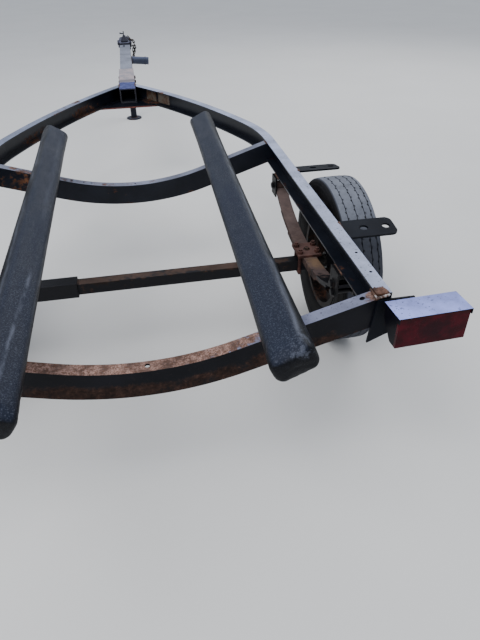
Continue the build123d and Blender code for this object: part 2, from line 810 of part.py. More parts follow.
def make_tyre():
    bead = rim_radius + tyre_seat_gap
    half_bead = rim_width / 2 - tyre_seat_gap
    half = tyre_width / 2
    shoulder = tread_width / 2
    edge = tyre_radius - tyre_crown
    flank = (rim_radius + tyre_radius) / 2 + tyre_flank_rise
    lip = bead + rim_flange_height
    inner_bead = half_bead - tyre_wall
    inner_shoulder = shoulder - tyre_inner_shoulder_step
    belt = edge - tyre_wall - tyre_belt_extra
    outline = [
        Line((-half_bead, bead), (-inner_bead, bead)),
        ThreePointArc((-inner_bead, bead), (tyre_wall - half, flank), (-inner_shoulder, belt)),
        Line((-inner_shoulder, belt), (inner_shoulder, belt)),
        ThreePointArc((inner_shoulder, belt), (half - tyre_wall, flank), (inner_bead, bead)),
        Line((inner_bead, bead), (half_bead, bead)),
        Line((half_bead, bead), (half_bead, lip)),
        ThreePointArc((half_bead, lip), (half, flank), (shoulder, edge)),
        ThreePointArc((shoulder, edge), (0, tyre_radius), (-shoulder, edge)),
        ThreePointArc((-shoulder, edge), (-half, flank), (-half_bead, lip)),
        Line((-half_bead, lip), (-half_bead, bead)),
    ]
    tyre = revolve(make_face(outline), Axis.X)
    for x in groove_places:
        ring = Pos(x, edge - groove_depth) * Rectangle(
            groove_width, 2 * groove_depth, align=(Align.CENTER, Align.MIN)
        )
        tyre -= revolve(ring, Axis.X)
    both_sides("tyre", Pos(wheel_centre_x, wheel_y, axle_centre_z) * tyre)


def make_fender_brackets():
    plates = []
    for y in fender_bracket_places:
        tilt = -fender_bracket_tilt if y < wheel_y else fender_bracket_tilt
        plan = Rectangle(fender_bracket_reach, fender_bracket_width, align=(Align.MIN, Align.CENTER))
        outer = plan.vertices().sort_by(Axis.X)[-2:]
        plan = fillet(outer, fender_bracket_corner)
        plan -= Pos(fender_slot_x, 0) * SlotOverall(fender_slot_length, 2 * fender_hole_radius)
        plan -= Pos(fender_hole_x, 0) * Circle(fender_hole_radius)
        plate = extrude(plan, -fender_bracket_thickness)
        plates.append(Pos(frame_half_width, y, fender_bracket_z) * Rot(X=-tilt) * plate)
    both_sides("fender_brackets", Compound(plates))


def make_lights():
    body_rear = light_rear_y + lens_thickness
    bottom = light_top_z - light_height
    low_front = light_rear_y + light_bottom_depth
    body_top = light_top_z - light_cover_thickness
    side_view = Plane(origin=(light_inner_x, 0, 0), x_dir=(0, 1, 0), z_dir=(1, 0, 0))
    profile = make_face(Polyline(
        (light_front_y, body_top), (body_rear, body_top), (body_rear, bottom), (low_front, bottom),
        (light_front_y, body_top - light_front_depth), close=True,
    ))
    body = extrude(side_view * profile, light_width)
    cover_rear = light_rear_y - light_cover_overhang
    cover = box(
        (light_inner_x - light_cover_overhang, cover_rear, body_top),
        (light_outer_x + light_cover_overhang, light_front_y + light_cover_overhang, light_top_z),
    )
    for x in (light_inner_x - light_cover_overhang, light_outer_x):
        cover += box(
            (x, cover_rear, body_top - light_cover_lip),
            (x + light_cover_overhang, light_front_y, light_top_z),
        )
    lens = box(
        (light_inner_x, light_rear_y, bottom), (light_outer_x, body_rear, body_top)
    )
    # the brackets are bent, so the lights sit a little askew
    corner = Pos(light_inner_x, light_front_y, 0)
    skew = corner * Rot(Z=light_skew) * corner.inverse()
    housing = skew * (body + cover)
    boss_z = body_top - light_boss_drop
    for inset in light_boss_insets:
        x = light_inner_x + inset
        housing += bar(
            (x, light_front_y - overcut, boss_z), (x, -light_plate_thickness, boss_z), light_boss_radius
        )
    both_sides("light_box", housing)
    both_sides("light_lens", skew * lens)
    top = light_top_z - light_plate_top_gap
    low = top - light_plate_height
    outline = make_face(Polyline(
        (light_plate_inner_x, top), (light_plate_inner_x - light_plate_lean, low),
        (light_plate_inner_x - light_plate_lean + light_plate_tail_width, low + light_plate_tail_rise),
        (light_plate_inner_x + light_plate_width, bottom), (light_plate_inner_x + light_plate_width, top),
        close=True,
    ))
    both_sides("light_plate", in_elevation(outline, -light_plate_thickness, light_plate_thickness))


def bunk_centre(row, y):
    _, rear_x, rear_y, front_x, front_y, _ = row
    return rear_x + (front_x - rear_x) * (y - rear_y) / (front_y - rear_y)


def along_bunk(row, section, start_y, length):
    """Push a cross-section along a bunk, from a Y forward, tilted as the bunk is."""
    _, rear_x, rear_y, front_x, front_y, tilt = row
    start = Plane(
        origin=(bunk_centre(row, start_y), start_y, bunk_top_z), x_dir=(1, 0, 0), z_dir=(0, -1, 0)
    )
    run = Vector(front_x - rear_x, front_y - rear_y, 0)
    reach = length * run.length / (front_y - rear_y)
    return extrude(start * Rot(Z=-tilt) * section, reach, dir=run)


def make_bunks():
    for row in bunk_table:
        section = RectangleRounded(bunk_width, bunk_thickness, bunk_corner)
        section = Pos(0, -bunk_thickness / 2) * section
        nodes["bunk_" + row[0]] = along_bunk(row, section, row[2], row[4] - row[2])


def make_bunk_brackets():
    for name, member in (("bunk_brackets_rear", rear_cross), ("bunk_brackets_front", front_cross)):
        brackets = []
        y = member[0]
        start = y + (cross_flange - bunk_pad_length) / 2
        for row in bunk_table:
            tilt = row[5]
            side_step = bunk_post_width / 2
            depth = bunk_thickness + bunk_seat_gap + bunk_pad_thickness / 2
            section = Pos(0, -depth) * Rectangle(bunk_post_width, bunk_pad_thickness)
            pad = along_bunk(row, section, start, bunk_pad_length)
            under = Vector(bunk_centre(row, y), 0, bunk_top_z) - Vector(
                math.sin(math.radians(tilt)), 0, math.cos(math.radians(tilt))
            ) * (bunk_thickness + bunk_seat_gap + bunk_pad_thickness)
            low = [cross_top(member, under.X + dx) for dx in (-side_step, side_step)]
            rise = math.tan(math.radians(-tilt))
            top = [under.Z + bunk_pad_thickness / 2 + rise * dx for dx in (-side_step, side_step)]
            post = make_face(Polyline(
                (under.X - side_step, low[0]), (under.X + side_step, low[1]),
                (under.X + side_step, top[1]), (under.X - side_step, top[0]), close=True,
            ))
            bracket = pad + in_elevation(post, y, bunk_post_thickness)
            brackets.append(bracket)
        nodes[name] = Compound(brackets)


def make_rail_plates():
    plates = []
    for distance, length in rail_plate_places:
        last = math.degrees(nose_heading - distance / nose_bend_radius)
        first = last - math.degrees(length / nose_bend_radius)
        near = nose_bend_radius - rail_wall - rail_plate_gap
        far = near - rail_plate_thickness
        edges = [
            CenterArc(nose_bend_centre, near, first, last - first),
            CenterArc(nose_bend_centre, far, first, last - first),
        ]
        for heading in (first, last):
            edges.append(Line(
                bend_point(nose_bend_centre, near, heading), bend_point(nose_bend_centre, far, heading)
            ))
        tall = rail_height - 2 * rail_plate_margin
        plates.append(Pos(0, 0, -rail_plate_margin) * extrude(make_face(edges), -tall))
    nodes["rail_plates"] = Compound(plates)


def main():
    make_rails()
    cross_hole_x = frame_half_width - cross_hole_inset
    rear_hole_places = (cross_hole_x, 0.0, -cross_hole_x)
    make_crossmember("rear_crossmember", rear_cross, rear_hole_places, cross_hole_radius)
    make_crossmember("front_crossmember", front_cross, front_hole_places, front_hole_radius)
    make_gusset()
    make_tongue()
    make_stub()
    make_jack()
    make_coupler()
    make_chain()
    make_axle()
    make_springs()
    make_wheels()
    make_fender_brackets()
    make_lights()
    make_bunks()
    make_bunk_brackets()
    make_rail_plates()

    rear_end = min(row[2] for row in bunk_table)
    place = Pos(0, -(rear_end + coupler_nose_y) / 2, rail_top_height)
    os.makedirs("parts", exist_ok=True)
    for name, piece in nodes.items():
        if isinstance(piece, list):
            piece = Compound([solid for part in piece for solid in part.solids()])
        export_step(place * piece, "parts/" + name + ".step")


main()
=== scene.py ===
import bmesh
import bpy
import math
import random
from mathutils import Matrix, Vector


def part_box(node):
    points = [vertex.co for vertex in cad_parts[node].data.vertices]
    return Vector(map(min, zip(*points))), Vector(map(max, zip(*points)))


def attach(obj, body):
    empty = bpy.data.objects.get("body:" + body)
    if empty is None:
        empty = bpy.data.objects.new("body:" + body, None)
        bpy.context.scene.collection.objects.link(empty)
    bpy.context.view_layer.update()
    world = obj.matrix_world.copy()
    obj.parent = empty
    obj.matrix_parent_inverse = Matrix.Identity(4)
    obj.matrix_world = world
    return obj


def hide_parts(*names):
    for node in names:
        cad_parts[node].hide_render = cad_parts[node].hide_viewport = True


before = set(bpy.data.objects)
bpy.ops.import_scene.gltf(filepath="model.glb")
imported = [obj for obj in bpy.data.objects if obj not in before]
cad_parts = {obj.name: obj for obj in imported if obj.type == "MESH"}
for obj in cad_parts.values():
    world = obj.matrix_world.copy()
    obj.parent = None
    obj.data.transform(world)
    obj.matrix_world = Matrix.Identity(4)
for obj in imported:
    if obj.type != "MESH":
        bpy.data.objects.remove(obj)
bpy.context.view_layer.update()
print("frame loaded,", len(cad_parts), "pieces")

datum = Vector((0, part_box("rear_crossmember")[0][1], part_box("side_rail_right")[1][2]))


def at(x, y, z):
    # place on the trailer in mm: from the centre line, the rear crossmember's face and the rails' tops
    return datum + Vector((x, y, z)) / 1000


# the tongue in mm like at(): where its sleeve starts, its climb, and places along it
tongue = {"sleeveRear": 2249.957, "rise": 0.02, "sleeveSide": 44.5, "tubeSide": 43.5, "tubeDrop": 6.3,
          "stub": 3214.957, "jack": 3669.957}


def tongueLine(y):
    # height of the sleeve's top at a place along the trailer, in mm
    return (y - tongue["sleeveRear"]) * tongue["rise"]


def tongueTop(y):
    # the same for the inner tube
    return tongueLine(y) - tongue["tubeDrop"]


# Camera, where the picture was taken from

cameraLook = {"place": at(57.0, -948.3, 676.2), "yaw": 9.823, "pitch": 36.109, "roll": -1.196,
              "focalPixels": 526.1, "frameHeight": 640, "sensor": 36, "reach": 200}


def makeCamera():
    s = cameraLook
    bpy.ops.object.camera_add()
    camera = bpy.context.object
    camera.name = "camera"
    turn = Matrix.Rotation(math.radians(-s["yaw"]), 3, "Z")
    look = Matrix.Rotation(math.radians(90 - s["pitch"]), 3, "X")
    lean = Matrix.Rotation(math.radians(s["roll"]), 3, "Z")
    camera.matrix_world = (turn @ look @ lean).to_4x4()
    camera.location = s["place"]
    camera.data.sensor_width = s["sensor"]
    camera.data.lens = s["sensor"] * s["focalPixels"] / s["frameHeight"]
    camera.data.clip_end = s["reach"]
    bpy.context.scene.camera = camera


makeCamera()
print("camera placed")


# Small helpers for node trees

def feed(tree, socket, value):
    if isinstance(value, bpy.types.NodeSocket):
        tree.links.new(value, socket)
    elif isinstance(value, (tuple, list)) and len(value) == 3 and socket.type == "RGBA":
        socket.default_value = (*value, 1)
    else:
        socket.default_value = value


def addNode(tree, kind, settings=None, inputs=None):
    node = tree.nodes.new(kind)
    node.location = (len(tree.nodes) % 8 * 190, -(len(tree.nodes) // 8) * 240)
    for key, value in (settings or {}).items():
        setattr(node, key, value)
    for key, value in (inputs or {}).items():
        feed(tree, node.inputs[key], value)
    return node


def calc(tree, operation, first, second=0.0, third=0.0):
    node = addNode(tree, "ShaderNodeMath", {"operation": operation})
    for index, value in enumerate((first, second, third)):
        feed(tree, node.inputs[index], value)
    return node.outputs[0]


def plus(tree, first, second):
    return calc(tree, "ADD", first, second)


def minus(tree, first, second):
    return calc(tree, "SUBTRACT", first, second)


def times(tree, first, second):
    return calc(tree, "MULTIPLY", first, second)


def timesPlus(tree, first, second, third):
    return calc(tree, "MULTIPLY_ADD", first, second, third)


def vectorCalc(tree, operation, first, second, output="Vector"):
    node = addNode(tree, "ShaderNodeVectorMath", {"operation": operation})
    feed(tree, node.inputs[0], first)
    feed(tree, node.inputs[1], second)
    return node.outputs[output]


def split(tree, vector):
    return addNode(tree, "ShaderNodeSeparateXYZ", {}, {0: vector}).outputs


def remap(tree, value, low, high, newLow=0.0, newHigh=1.0):
    node = addNode(tree, "ShaderNodeMapRange", {"interpolation_type": "SMOOTHSTEP"})
    for index, number in enumerate((value, low, high, newLow, newHigh)):
        feed(tree, node.inputs[index], number)
    return node.outputs[0]


def mixColour(tree, factor, first, second):
    node = addNode(tree, "ShaderNodeMix", {"data_type": "RGBA"})
    for index, value in ((0, factor), (6, first), (7, second)):
        feed(tree, node.inputs[index], value)
    return node.outputs[2]


def noise(tree, vector, scale, detail=5.0, roughness=0.6, distortion=0.0):
    node = addNode(tree, "ShaderNodeTexNoise", {}, {
        "Vector": vector, "Scale": scale, "Detail": detail, "Roughness": roughness, "Distortion": distortion})
    return node.outputs[0]


def stretched(tree, vector, scale):
    return vectorCalc(tree, "MULTIPLY", vector, scale)


def ramp(tree, value, stops):
    node = addNode(tree, "ShaderNodeValToRGB", {}, {"Fac": value})
    points = node.color_ramp.elements
    while len(points) < len(stops):
        points.new(0.5)
    for point, (place, colour) in zip(points, stops):
        point.position = place
        point.color = (*colour, 1)
    return node.outputs[0]


def newGroup(name, inputs, outputs):
    # a place goes in first, an input without a number is a vector, and what comes out are numbers
    group = bpy.data.node_groups.new(name, "ShaderNodeTree")
    for label, value in {"Vector": None, **inputs}.items():
        kind = "NodeSocketVector" if value is None else "NodeSocketFloat"
        socket = group.interface.new_socket(label, in_out="INPUT", socket_type=kind)
        if value is not None:
            socket.default_value = value
    for label in outputs:
        group.interface.new_socket(label, in_out="OUTPUT", socket_type="NodeSocketFloat")
    return group, group.nodes.new("NodeGroupInput").outputs, group.nodes.new("NodeGroupOutput").inputs


def useGroup(tree, group, inputs):
    return addNode(tree, "ShaderNodeGroup", {"node_tree": group}, inputs).outputs


# Effects that several finishes share

def makeRustGroup():
    group, given, put = newGroup("rustBreakout", {"Scale": 14.0, "Amount": 0.3, "Softness": 0.05},
                                 ("Mask", "Tone", "Height"))
    large = noise(group, given["Vector"], given["Scale"], 6, 0.62, 0.4)
    fine = noise(group, given["Vector"], times(group, given["Scale"], 6.5), 5, 0.7)
    both = plus(group, times(group, large, 0.64), times(group, fine, 0.36))
    lifted = timesPlus(group, minus(group, given["Amount"], 0.5), 0.62, both)
    low = minus(group, 0.5, given["Softness"])
    high = plus(group, 0.5, given["Softness"])
    mask = remap(group, lifted, low, high)
    feed(group, put["Mask"], mask)
    tone = noise(group, given["Vector"], times(group, given["Scale"], 2.2), 7, 0.68)
    feed(group, put["Tone"], timesPlus(group, fine, 0.4, times(group, tone, 0.6)))
    feed(group, put["Height"], times(group, mask, timesPlus(group, fine, 0.8, 0.4)))
    return group


def makeEdgeGroup():
    group, given, put = newGroup("edgeWear", {"Radius": 0.003, "Scale": 60.0, "Amount": 0.5}, ("Mask",))
    rounded = addNode(group, "ShaderNodeBevel", {"samples": 6}, {"Radius": given["Radius"]}).outputs[0]
    flat = addNode(group, "ShaderNodeNewGeometry").outputs["Normal"]
    turned = minus(group, 1.0, vectorCalc(group, "DOT_PRODUCT", rounded, flat, "Value"))
    edge = remap(group, turned, 0.02, 0.22)
    broken = noise(group, given["Vector"], given["Scale"], 5, 0.7)
    keep = minus(group, 0.95, times(group, given["Amount"], 0.8))
    feed(group, put["Mask"], times(group, edge, remap(group, broken, keep, plus(group, keep, 0.1))))
    return group


# lighter on upward faces: a painted reflection of the sky, together with the chalky bloom of old paint and dust
def makeSkySheenAndBloomGroup():
    group, given, put = newGroup("topSkySheenAndBloom", {"Scale": 9.0, "Amount": 0.5}, ("Mask",))
    up = split(group, addNode(group, "ShaderNodeNewGeometry").outputs["Normal"])[2]
    facing = remap(group, up, 0.35, 0.93)
    uneven = remap(group, noise(group, given["Vector"], given["Scale"], 6, 0.65), 0.25, 0.72, 0.5, 1.0)
    feed(group, put["Mask"], times(group, times(group, facing, uneven), given["Amount"]))
    return group


def makePatchGroup():
    group, given, put = newGroup("patchArea", {"Centre": None, "Reach": None, "Add": 0.3}, ("Mask",))
    apart = vectorCalc(group, "SUBTRACT", given["Vector"], given["Centre"])
    share = vectorCalc(group, "DIVIDE", apart, given["Reach"])
    distance = vectorCalc(group, "LENGTH", share, (0, 0, 0), "Value")
    uneven = noise(group, given["Vector"], 55.0, 5, 0.68)
    ragged = timesPlus(group, uneven, 1.4, minus(group, distance, 0.7))
    feed(group, put["Mask"], times(group, remap(group, ragged, 0.35, 1.1, 1.0, 0.0), given["Add"]))
    return group


def makeGrainGroup():
    group, given, put = newGroup("leatherGrain", {"Scale": 420.0}, ("Height",))
    cells = addNode(group, "ShaderNodeTexVoronoi", {"feature": "DISTANCE_TO_EDGE"}, {
        "Vector": given["Vector"], "Scale": given["Scale"], "Randomness": 0.9})
    valley = remap(group, cells.outputs["Distance"], 0.0, 0.12)
    rough = noise(group, given["Vector"], times(group, given["Scale"], 1.7), 3, 0.6)
    feed(group, put["Height"], timesPlus(group, rough, 0.35, times(group, valley, 0.65)))
    return group


def makeRubbedAndHighlightLineGroup():
    # a pale line along a bunk, between two places given as across and along: partly rubbed wear, partly a
    # painted highlight along a rounded edge or ridge
    group, given, put = newGroup("rubbedAndHighlightLine", {"From": None, "To": None, "Width": 0.004, "Amount": 0.6},
                                 ("Mask",))
    here, first, last = [split(group, given[label]) for label in ("Vector", "From", "To")]
    run = minus(group, last[1], first[1])
    share = calc(group, "DIVIDE", minus(group, here[1], first[1]), run)
    line = timesPlus(group, minus(group, last[0], first[0]), share, first[0])
    sway = noise(group, stretched(group, given["Vector"], (0.0, 1.0, 0.0)), 9.0, 3, 0.5)
    line = timesPlus(group, minus(group, sway, 0.5), 0.008, line)
    away = calc(group, "ABSOLUTE", minus(group, here[0], line))
    near = remap(group, away, 0.0, given["Width"], 1.0, 0.0)
    ends = times(group, remap(group, share, 0.0, 0.12), remap(group, share, 0.88, 1.0, 1.0, 0.0))
    onTop = remap(group, here[2], -0.035, -0.020)
    gaps = noise(group, stretched(group, given["Vector"], (1.0, 0.18, 1.0)), 60.0, 5, 0.65)
    broken = remap(group, gaps, 0.36, 0.60)
    mask = times(group, times(group, near, ends), times(group, onTop, broken))
    feed(group, put["Mask"], times(group, mask, given["Amount"]))
    return group


def makeDepthGroup():
    # how far a point lies below a dished crossmember's top line: an arc in the middle, straight outside it
    group, given, put = newGroup("dishDepth", {"Half": 0.578, "Top": 0.527, "Slope": 0.29, "Radius": 0.778},
                                 ("Depth",))
    parts = split(group, given["Vector"])
    away = calc(group, "ABSOLUTE", parts[0])
    lean = calc(group, "ARCTANGENT", given["Slope"])
    tangentX = times(group, given["Radius"], calc(group, "SINE", lean))
    outside = times(group, given["Slope"], minus(group, given["Half"], away))
    straight = minus(group, given["Top"], outside)
    atTangent = times(group, given["Slope"], minus(group, given["Half"], tangentX))
    lift = times(group, given["Radius"], calc(group, "COSINE", lean))
    centre = plus(group, minus(group, given["Top"], atTangent), lift)
    square = minus(group, times(group, given["Radius"], given["Radius"]), times(group, away, away))
    arc = minus(group, centre, calc(group, "SQRT", square))
    beyond = calc(group, "GREATER_THAN", away, tangentX)
    line = plus(group, times(group, beyond, straight), times(group, minus(group, 1.0, beyond), arc))
    feed(group, put["Depth"], minus(group, line, parts[2]))
    return group


rustGroup = makeRustGroup()
edgeGroup = makeEdgeGroup()
skySheenAndBloomGroup = makeSkySheenAndBloomGroup()
patchGroup = makePatchGroup()
grainGroup = makeGrainGroup()
rubbedAndHighlightLineGroup = makeRubbedAndHighlightLineGroup()
depthGroup = makeDepthGroup()
print("shared effects made")


# Finishes

def startMaterial(name, gloss=0.5):
    material = bpy.data.materials.new(name)
    material.use_nodes = True
    tree = material.node_tree
    shader = tree.nodes["Principled BSDF"]
    shader.inputs["Specular IOR Level"].default_value = gloss
    place = addNode(tree, "ShaderNodeTexCoord").outputs["Object"]
    return material, tree, shader, place


def setSurface(tree, shader, colour, roughness, height, strength, distance):
    bump = addNode(tree, "ShaderNodeBump", {}, {
        "Height": height, "Strength": strength, "Distance": distance})
    for name, value in (("Base Color", colour), ("Roughness", roughness), ("Normal", bump.outputs[0])):
        feed(tree, shader.inputs[name], value)


def patchSum(tree, place, base, patches):
    total = base
    for centre, reach, add in patches:
        patch = useGroup(tree, patchGroup, {"Vector": place, "Centre": centre, "Reach": reach, "Add": add})
        total = plus(tree, total, patch["Mask"])
    return total


rustStops = [(0.30, (0.010, 0.005, 0.004)), (0.44, (0.035, 0.015, 0.009)), (0.54, (0.085, 0.034, 0.017)),
             (0.68, (0.20, 0.085, 0.040))]


def paintedSteel(name, look):
    s = {"paint": (0.0045, 0.0058, 0.0100), "shade": (0.010, 0.012, 0.019), "skySheenAndBloom": (0.34, 0.38, 0.54),
         "skySheenAndBloomAmount": 0.8, "topFrom": None, "dish": None, "lower": None, "rust": 0.16, "rustScale": 12.0,
         "patches": [], "topPatches": [], "rustStops": rustStops, "dust": (0.27, 0.18, 0.155),
         "dustAmount": 0.5, "roughness": 0.34, "softness": 0.06, "edge": 0.3,
         "edgeColour": (0.09, 0.042, 0.026), "gloss": 0.22, **look}
    material, tree, shader, place = startMaterial(name, s["gloss"])
    amount = patchSum(tree, place, s["rust"], s["patches"])
    skySheenAndBloom = useGroup(tree, skySheenAndBloomGroup, {"Vector": place, "Scale": 8.0, "Amount": 1.0})["Mask"]
    if s["dish"]:  # a crossmember: painted sky sheen and bloom only on its top face, rust low on its web
        depth = useGroup(tree, depthGroup, {"Vector": place, **s["dish"]})["Depth"]
        skySheenAndBloom = times(tree, skySheenAndBloom, remap(tree, depth, 0.004, 0.009, 1.0, 0.0))
        amount = plus(tree, amount, remap(tree, depth, s["lower"][0], s["lower"][1], 0.0, s["lower"][2]))
    # a rail: the painted sky sheen and bloom only on its top flange, so the faces under it stay dark
    elif s["topFrom"] is not None:
        skySheenAndBloom = times(tree, skySheenAndBloom, remap(tree, split(tree, place)[2], s["topFrom"], s["topFrom"] + 0.002))
    if s["topPatches"]:
        amount = timesPlus(tree, skySheenAndBloom, patchSum(tree, place, 0.0, s["topPatches"]), amount)
    rust = useGroup(tree, rustGroup, {
        "Vector": place, "Scale": s["rustScale"], "Amount": amount, "Softness": s["softness"]})
    mottle = remap(tree, noise(tree, place, 7.0, 6, 0.65), 0.35, 0.7)
    colour = mixColour(tree, mottle, s["paint"], s["shade"])
    # pale on upward faces: a painted reflection of the sky, partly chalky paint bloom
    colour = mixColour(tree, times(tree, skySheenAndBloom, s["skySheenAndBloomAmount"]), colour, s["skySheenAndBloom"])
    darkDust = tuple(0.3 * part for part in s["dust"])
    dusty = mixColour(tree, remap(tree, rust["Tone"], 0.42, 0.58), darkDust, s["dust"])
    grit = remap(tree, noise(tree, place, 240.0, 4, 0.6), 0.46, 0.62)
    dusty = mixColour(tree, grit, dusty, (0.15, 0.078, 0.054))
    onTop = times(tree, skySheenAndBloom, s["dustAmount"])
    rusty = mixColour(tree, onTop, ramp(tree, rust["Tone"], s["rustStops"]), dusty)
    colour = mixColour(tree, rust["Mask"], colour, rusty)
    specks = remap(tree, noise(tree, place, 160.0, 3, 0.5), 0.62, 0.68)
    colour = mixColour(tree, times(tree, specks, 0.6), colour, (0.012, 0.010, 0.011))
    edge = useGroup(tree, edgeGroup, {"Vector": place, "Amount": s["edge"]})["Mask"]
    colour = mixColour(tree, edge, colour, s["edgeColour"])
    roughness = timesPlus(tree, rust["Mask"], 0.5, timesPlus(tree, skySheenAndBloom, 0.18, s["roughness"]))
    height = timesPlus(tree, noise(tree, place, 55.0, 4, 0.5), 0.25, rust["Height"])
    setSurface(tree, shader, colour, roughness, height, 0.5, 0.0012)
    return material


def rustySteel(name, look):
    s = {"dark": (0.009, 0.006, 0.005), "mid": (0.038, 0.019, 0.012), "light": (0.115, 0.058, 0.034),
         "paint": (0.006, 0.006, 0.008), "paintAmount": 0.35, "skySheenAndBloom": (0.20, 0.145, 0.125),
         "skySheenAndBloomAmount": 0.35, "patches": [], "tan": None, "scale": 16.0, **look}
    material, tree, shader, place = startMaterial(name, 0.2)
    tone = noise(tree, place, s["scale"] * 1.6, 8, 0.7)
    colour = ramp(tree, tone, [(0.32, s["dark"]), (0.5, s["mid"]), (0.68, s["light"])])
    # lighter on upward faces: painted sky sheen over dust
    skySheenAndBloom = useGroup(tree, skySheenAndBloomGroup, {"Vector": place, "Scale": 14.0, "Amount": s["skySheenAndBloomAmount"]})["Mask"]
    colour = mixColour(tree, skySheenAndBloom, colour, s["skySheenAndBloom"])
    amount = patchSum(tree, place, s["paintAmount"], s["patches"])
    left = useGroup(tree, rustGroup, {"Vector": place, "Scale": s["scale"] * 0.6, "Amount": amount})
    colour = mixColour(tree, left["Mask"], colour, s["paint"])
    if s["tan"]:  # rubbed bright where the light falls on it
        bright = patchSum(tree, place, 0.0, s["tan"])
        colour = mixColour(tree, bright, colour, (0.25, 0.155, 0.088))
    edge = useGroup(tree, edgeGroup, {"Vector": place, "Amount": 0.5})["Mask"]
    colour = mixColour(tree, times(tree, edge, 0.5), colour, s["light"])
    height = timesPlus(tree, noise(tree, place, 190.0, 5, 0.7), 0.6, times(tree, tone, 0.6))
    setSurface(tree, shader, colour, timesPlus(tree, left["Mask"], -0.35, 0.85), height, 0.6, 0.0012)
    return material


def vinyl(name, look):
    # edge and top: near-black rounded edges as painted shade, and a lighter flat top as a painted reflection of
    # the sky
    s = {"edge": (0.0012, 0.0016, 0.0032), "top": (0.0055, 0.0080, 0.0170), "fadedAndSheen": (0.016, 0.021, 0.038),
         "worn": (0.13, 0.145, 0.19), "lines": [], "patches": [], "scuffAmount": 0.10, **look}
    material, tree, shader, place = startMaterial(name, 0.14)
    local = addNode(tree, "ShaderNodeMapping", {"vector_type": "TEXTURE"}, {
        "Vector": place, "Location": s["middle"], "Rotation": s["turn"]}).outputs[0]
    across, along, up = split(tree, local)
    cloudy = remap(tree, noise(tree, stretched(tree, local, (1.0, 0.25, 1.0)), 16.0, 6, 0.62), 0.36, 0.68)
    flatTop = times(tree, remap(tree, calc(tree, "ABSOLUTE", across), 0.030, 0.044, 1.0, 0.0),
                    remap(tree, up, -0.016, -0.006))
    rear = remap(tree, along, s["fadeFrom"], s["fadeTo"], 1.0, 0.35)
    # lighter flat top against near-black rounded edges: painted sky reflection on the top, painted shade on the
    # edges; paler in clouds and towards the rear, partly sun fading and partly painted sheen
    colour = mixColour(tree, flatTop, s["edge"], s["top"])
    colour = mixColour(tree, times(tree, times(tree, cloudy, 0.5), flatTop), colour, s["fadedAndSheen"])
    colour = mixColour(tree, times(tree, times(tree, rear, 0.35), flatTop), colour, s["fadedAndSheen"])
    amount = patchSum(tree, place, s["scuffAmount"], s["patches"])
    scuff = useGroup(tree, rustGroup, {
        "Vector": stretched(tree, local, (1.0, 0.5, 1.0)), "Scale": 120.0, "Amount": amount, "Softness": 0.10})
    worn = times(tree, scuff["Mask"], 0.42)
    # pale lines along the edges and the left cover's ridge: painted highlights, partly rubbed wear
    for first, last, width, strength in s["lines"]:
        line = useGroup(tree, rubbedAndHighlightLineGroup, {
            "Vector": local, "From": first, "To": last, "Width": width, "Amount": strength})["Mask"]
        worn = calc(tree, "MAXIMUM", worn, line)
    colour = mixColour(tree, worn, colour, s["worn"])
    grime = remap(tree, noise(tree, place, 310.0, 4, 0.7), 0.50, 0.66)
    colour = mixColour(tree, times(tree, grime, timesPlus(tree, flatTop, 0.30, 0.06)), colour, s["worn"])
    dots = remap(tree, noise(tree, place, 190.0, 2, 0.5), 0.70, 0.74)
    colour = mixColour(tree, times(tree, dots, 0.55), colour, s["worn"])
    grain = useGroup(tree, grainGroup, {"Vector": place, "Scale": 430.0})
    height = timesPlus(tree, noise(tree, place, 30.0, 4, 0.5), 1.2, grain["Height"])
    setSurface(tree, shader, colour, timesPlus(tree, cloudy, 0.16, 0.40), height, 0.35, 0.0007)
    return material


def timber(name):
    material, tree, shader, place = startMaterial(name, 0.2)
    rings = noise(tree, stretched(tree, place, (1.0, 0.05, 1.0)), 95.0, 5, 0.62, 0.6)
    colour = ramp(tree, rings, [(0.34, (0.055, 0.040, 0.030)), (0.5, (0.16, 0.115, 0.080)),
                                (0.66, (0.27, 0.21, 0.155))])
    damp = useGroup(tree, rustGroup, {"Vector": place, "Scale": 9.0, "Amount": 0.42, "Softness": 0.12})
    colour = mixColour(tree, times(tree, damp["Mask"], 0.6), colour, (0.035, 0.032, 0.028))
    setSurface(tree, shader, colour, timesPlus(tree, rings, 0.2, 0.75), rings, 0.6, 0.0015)
    return material


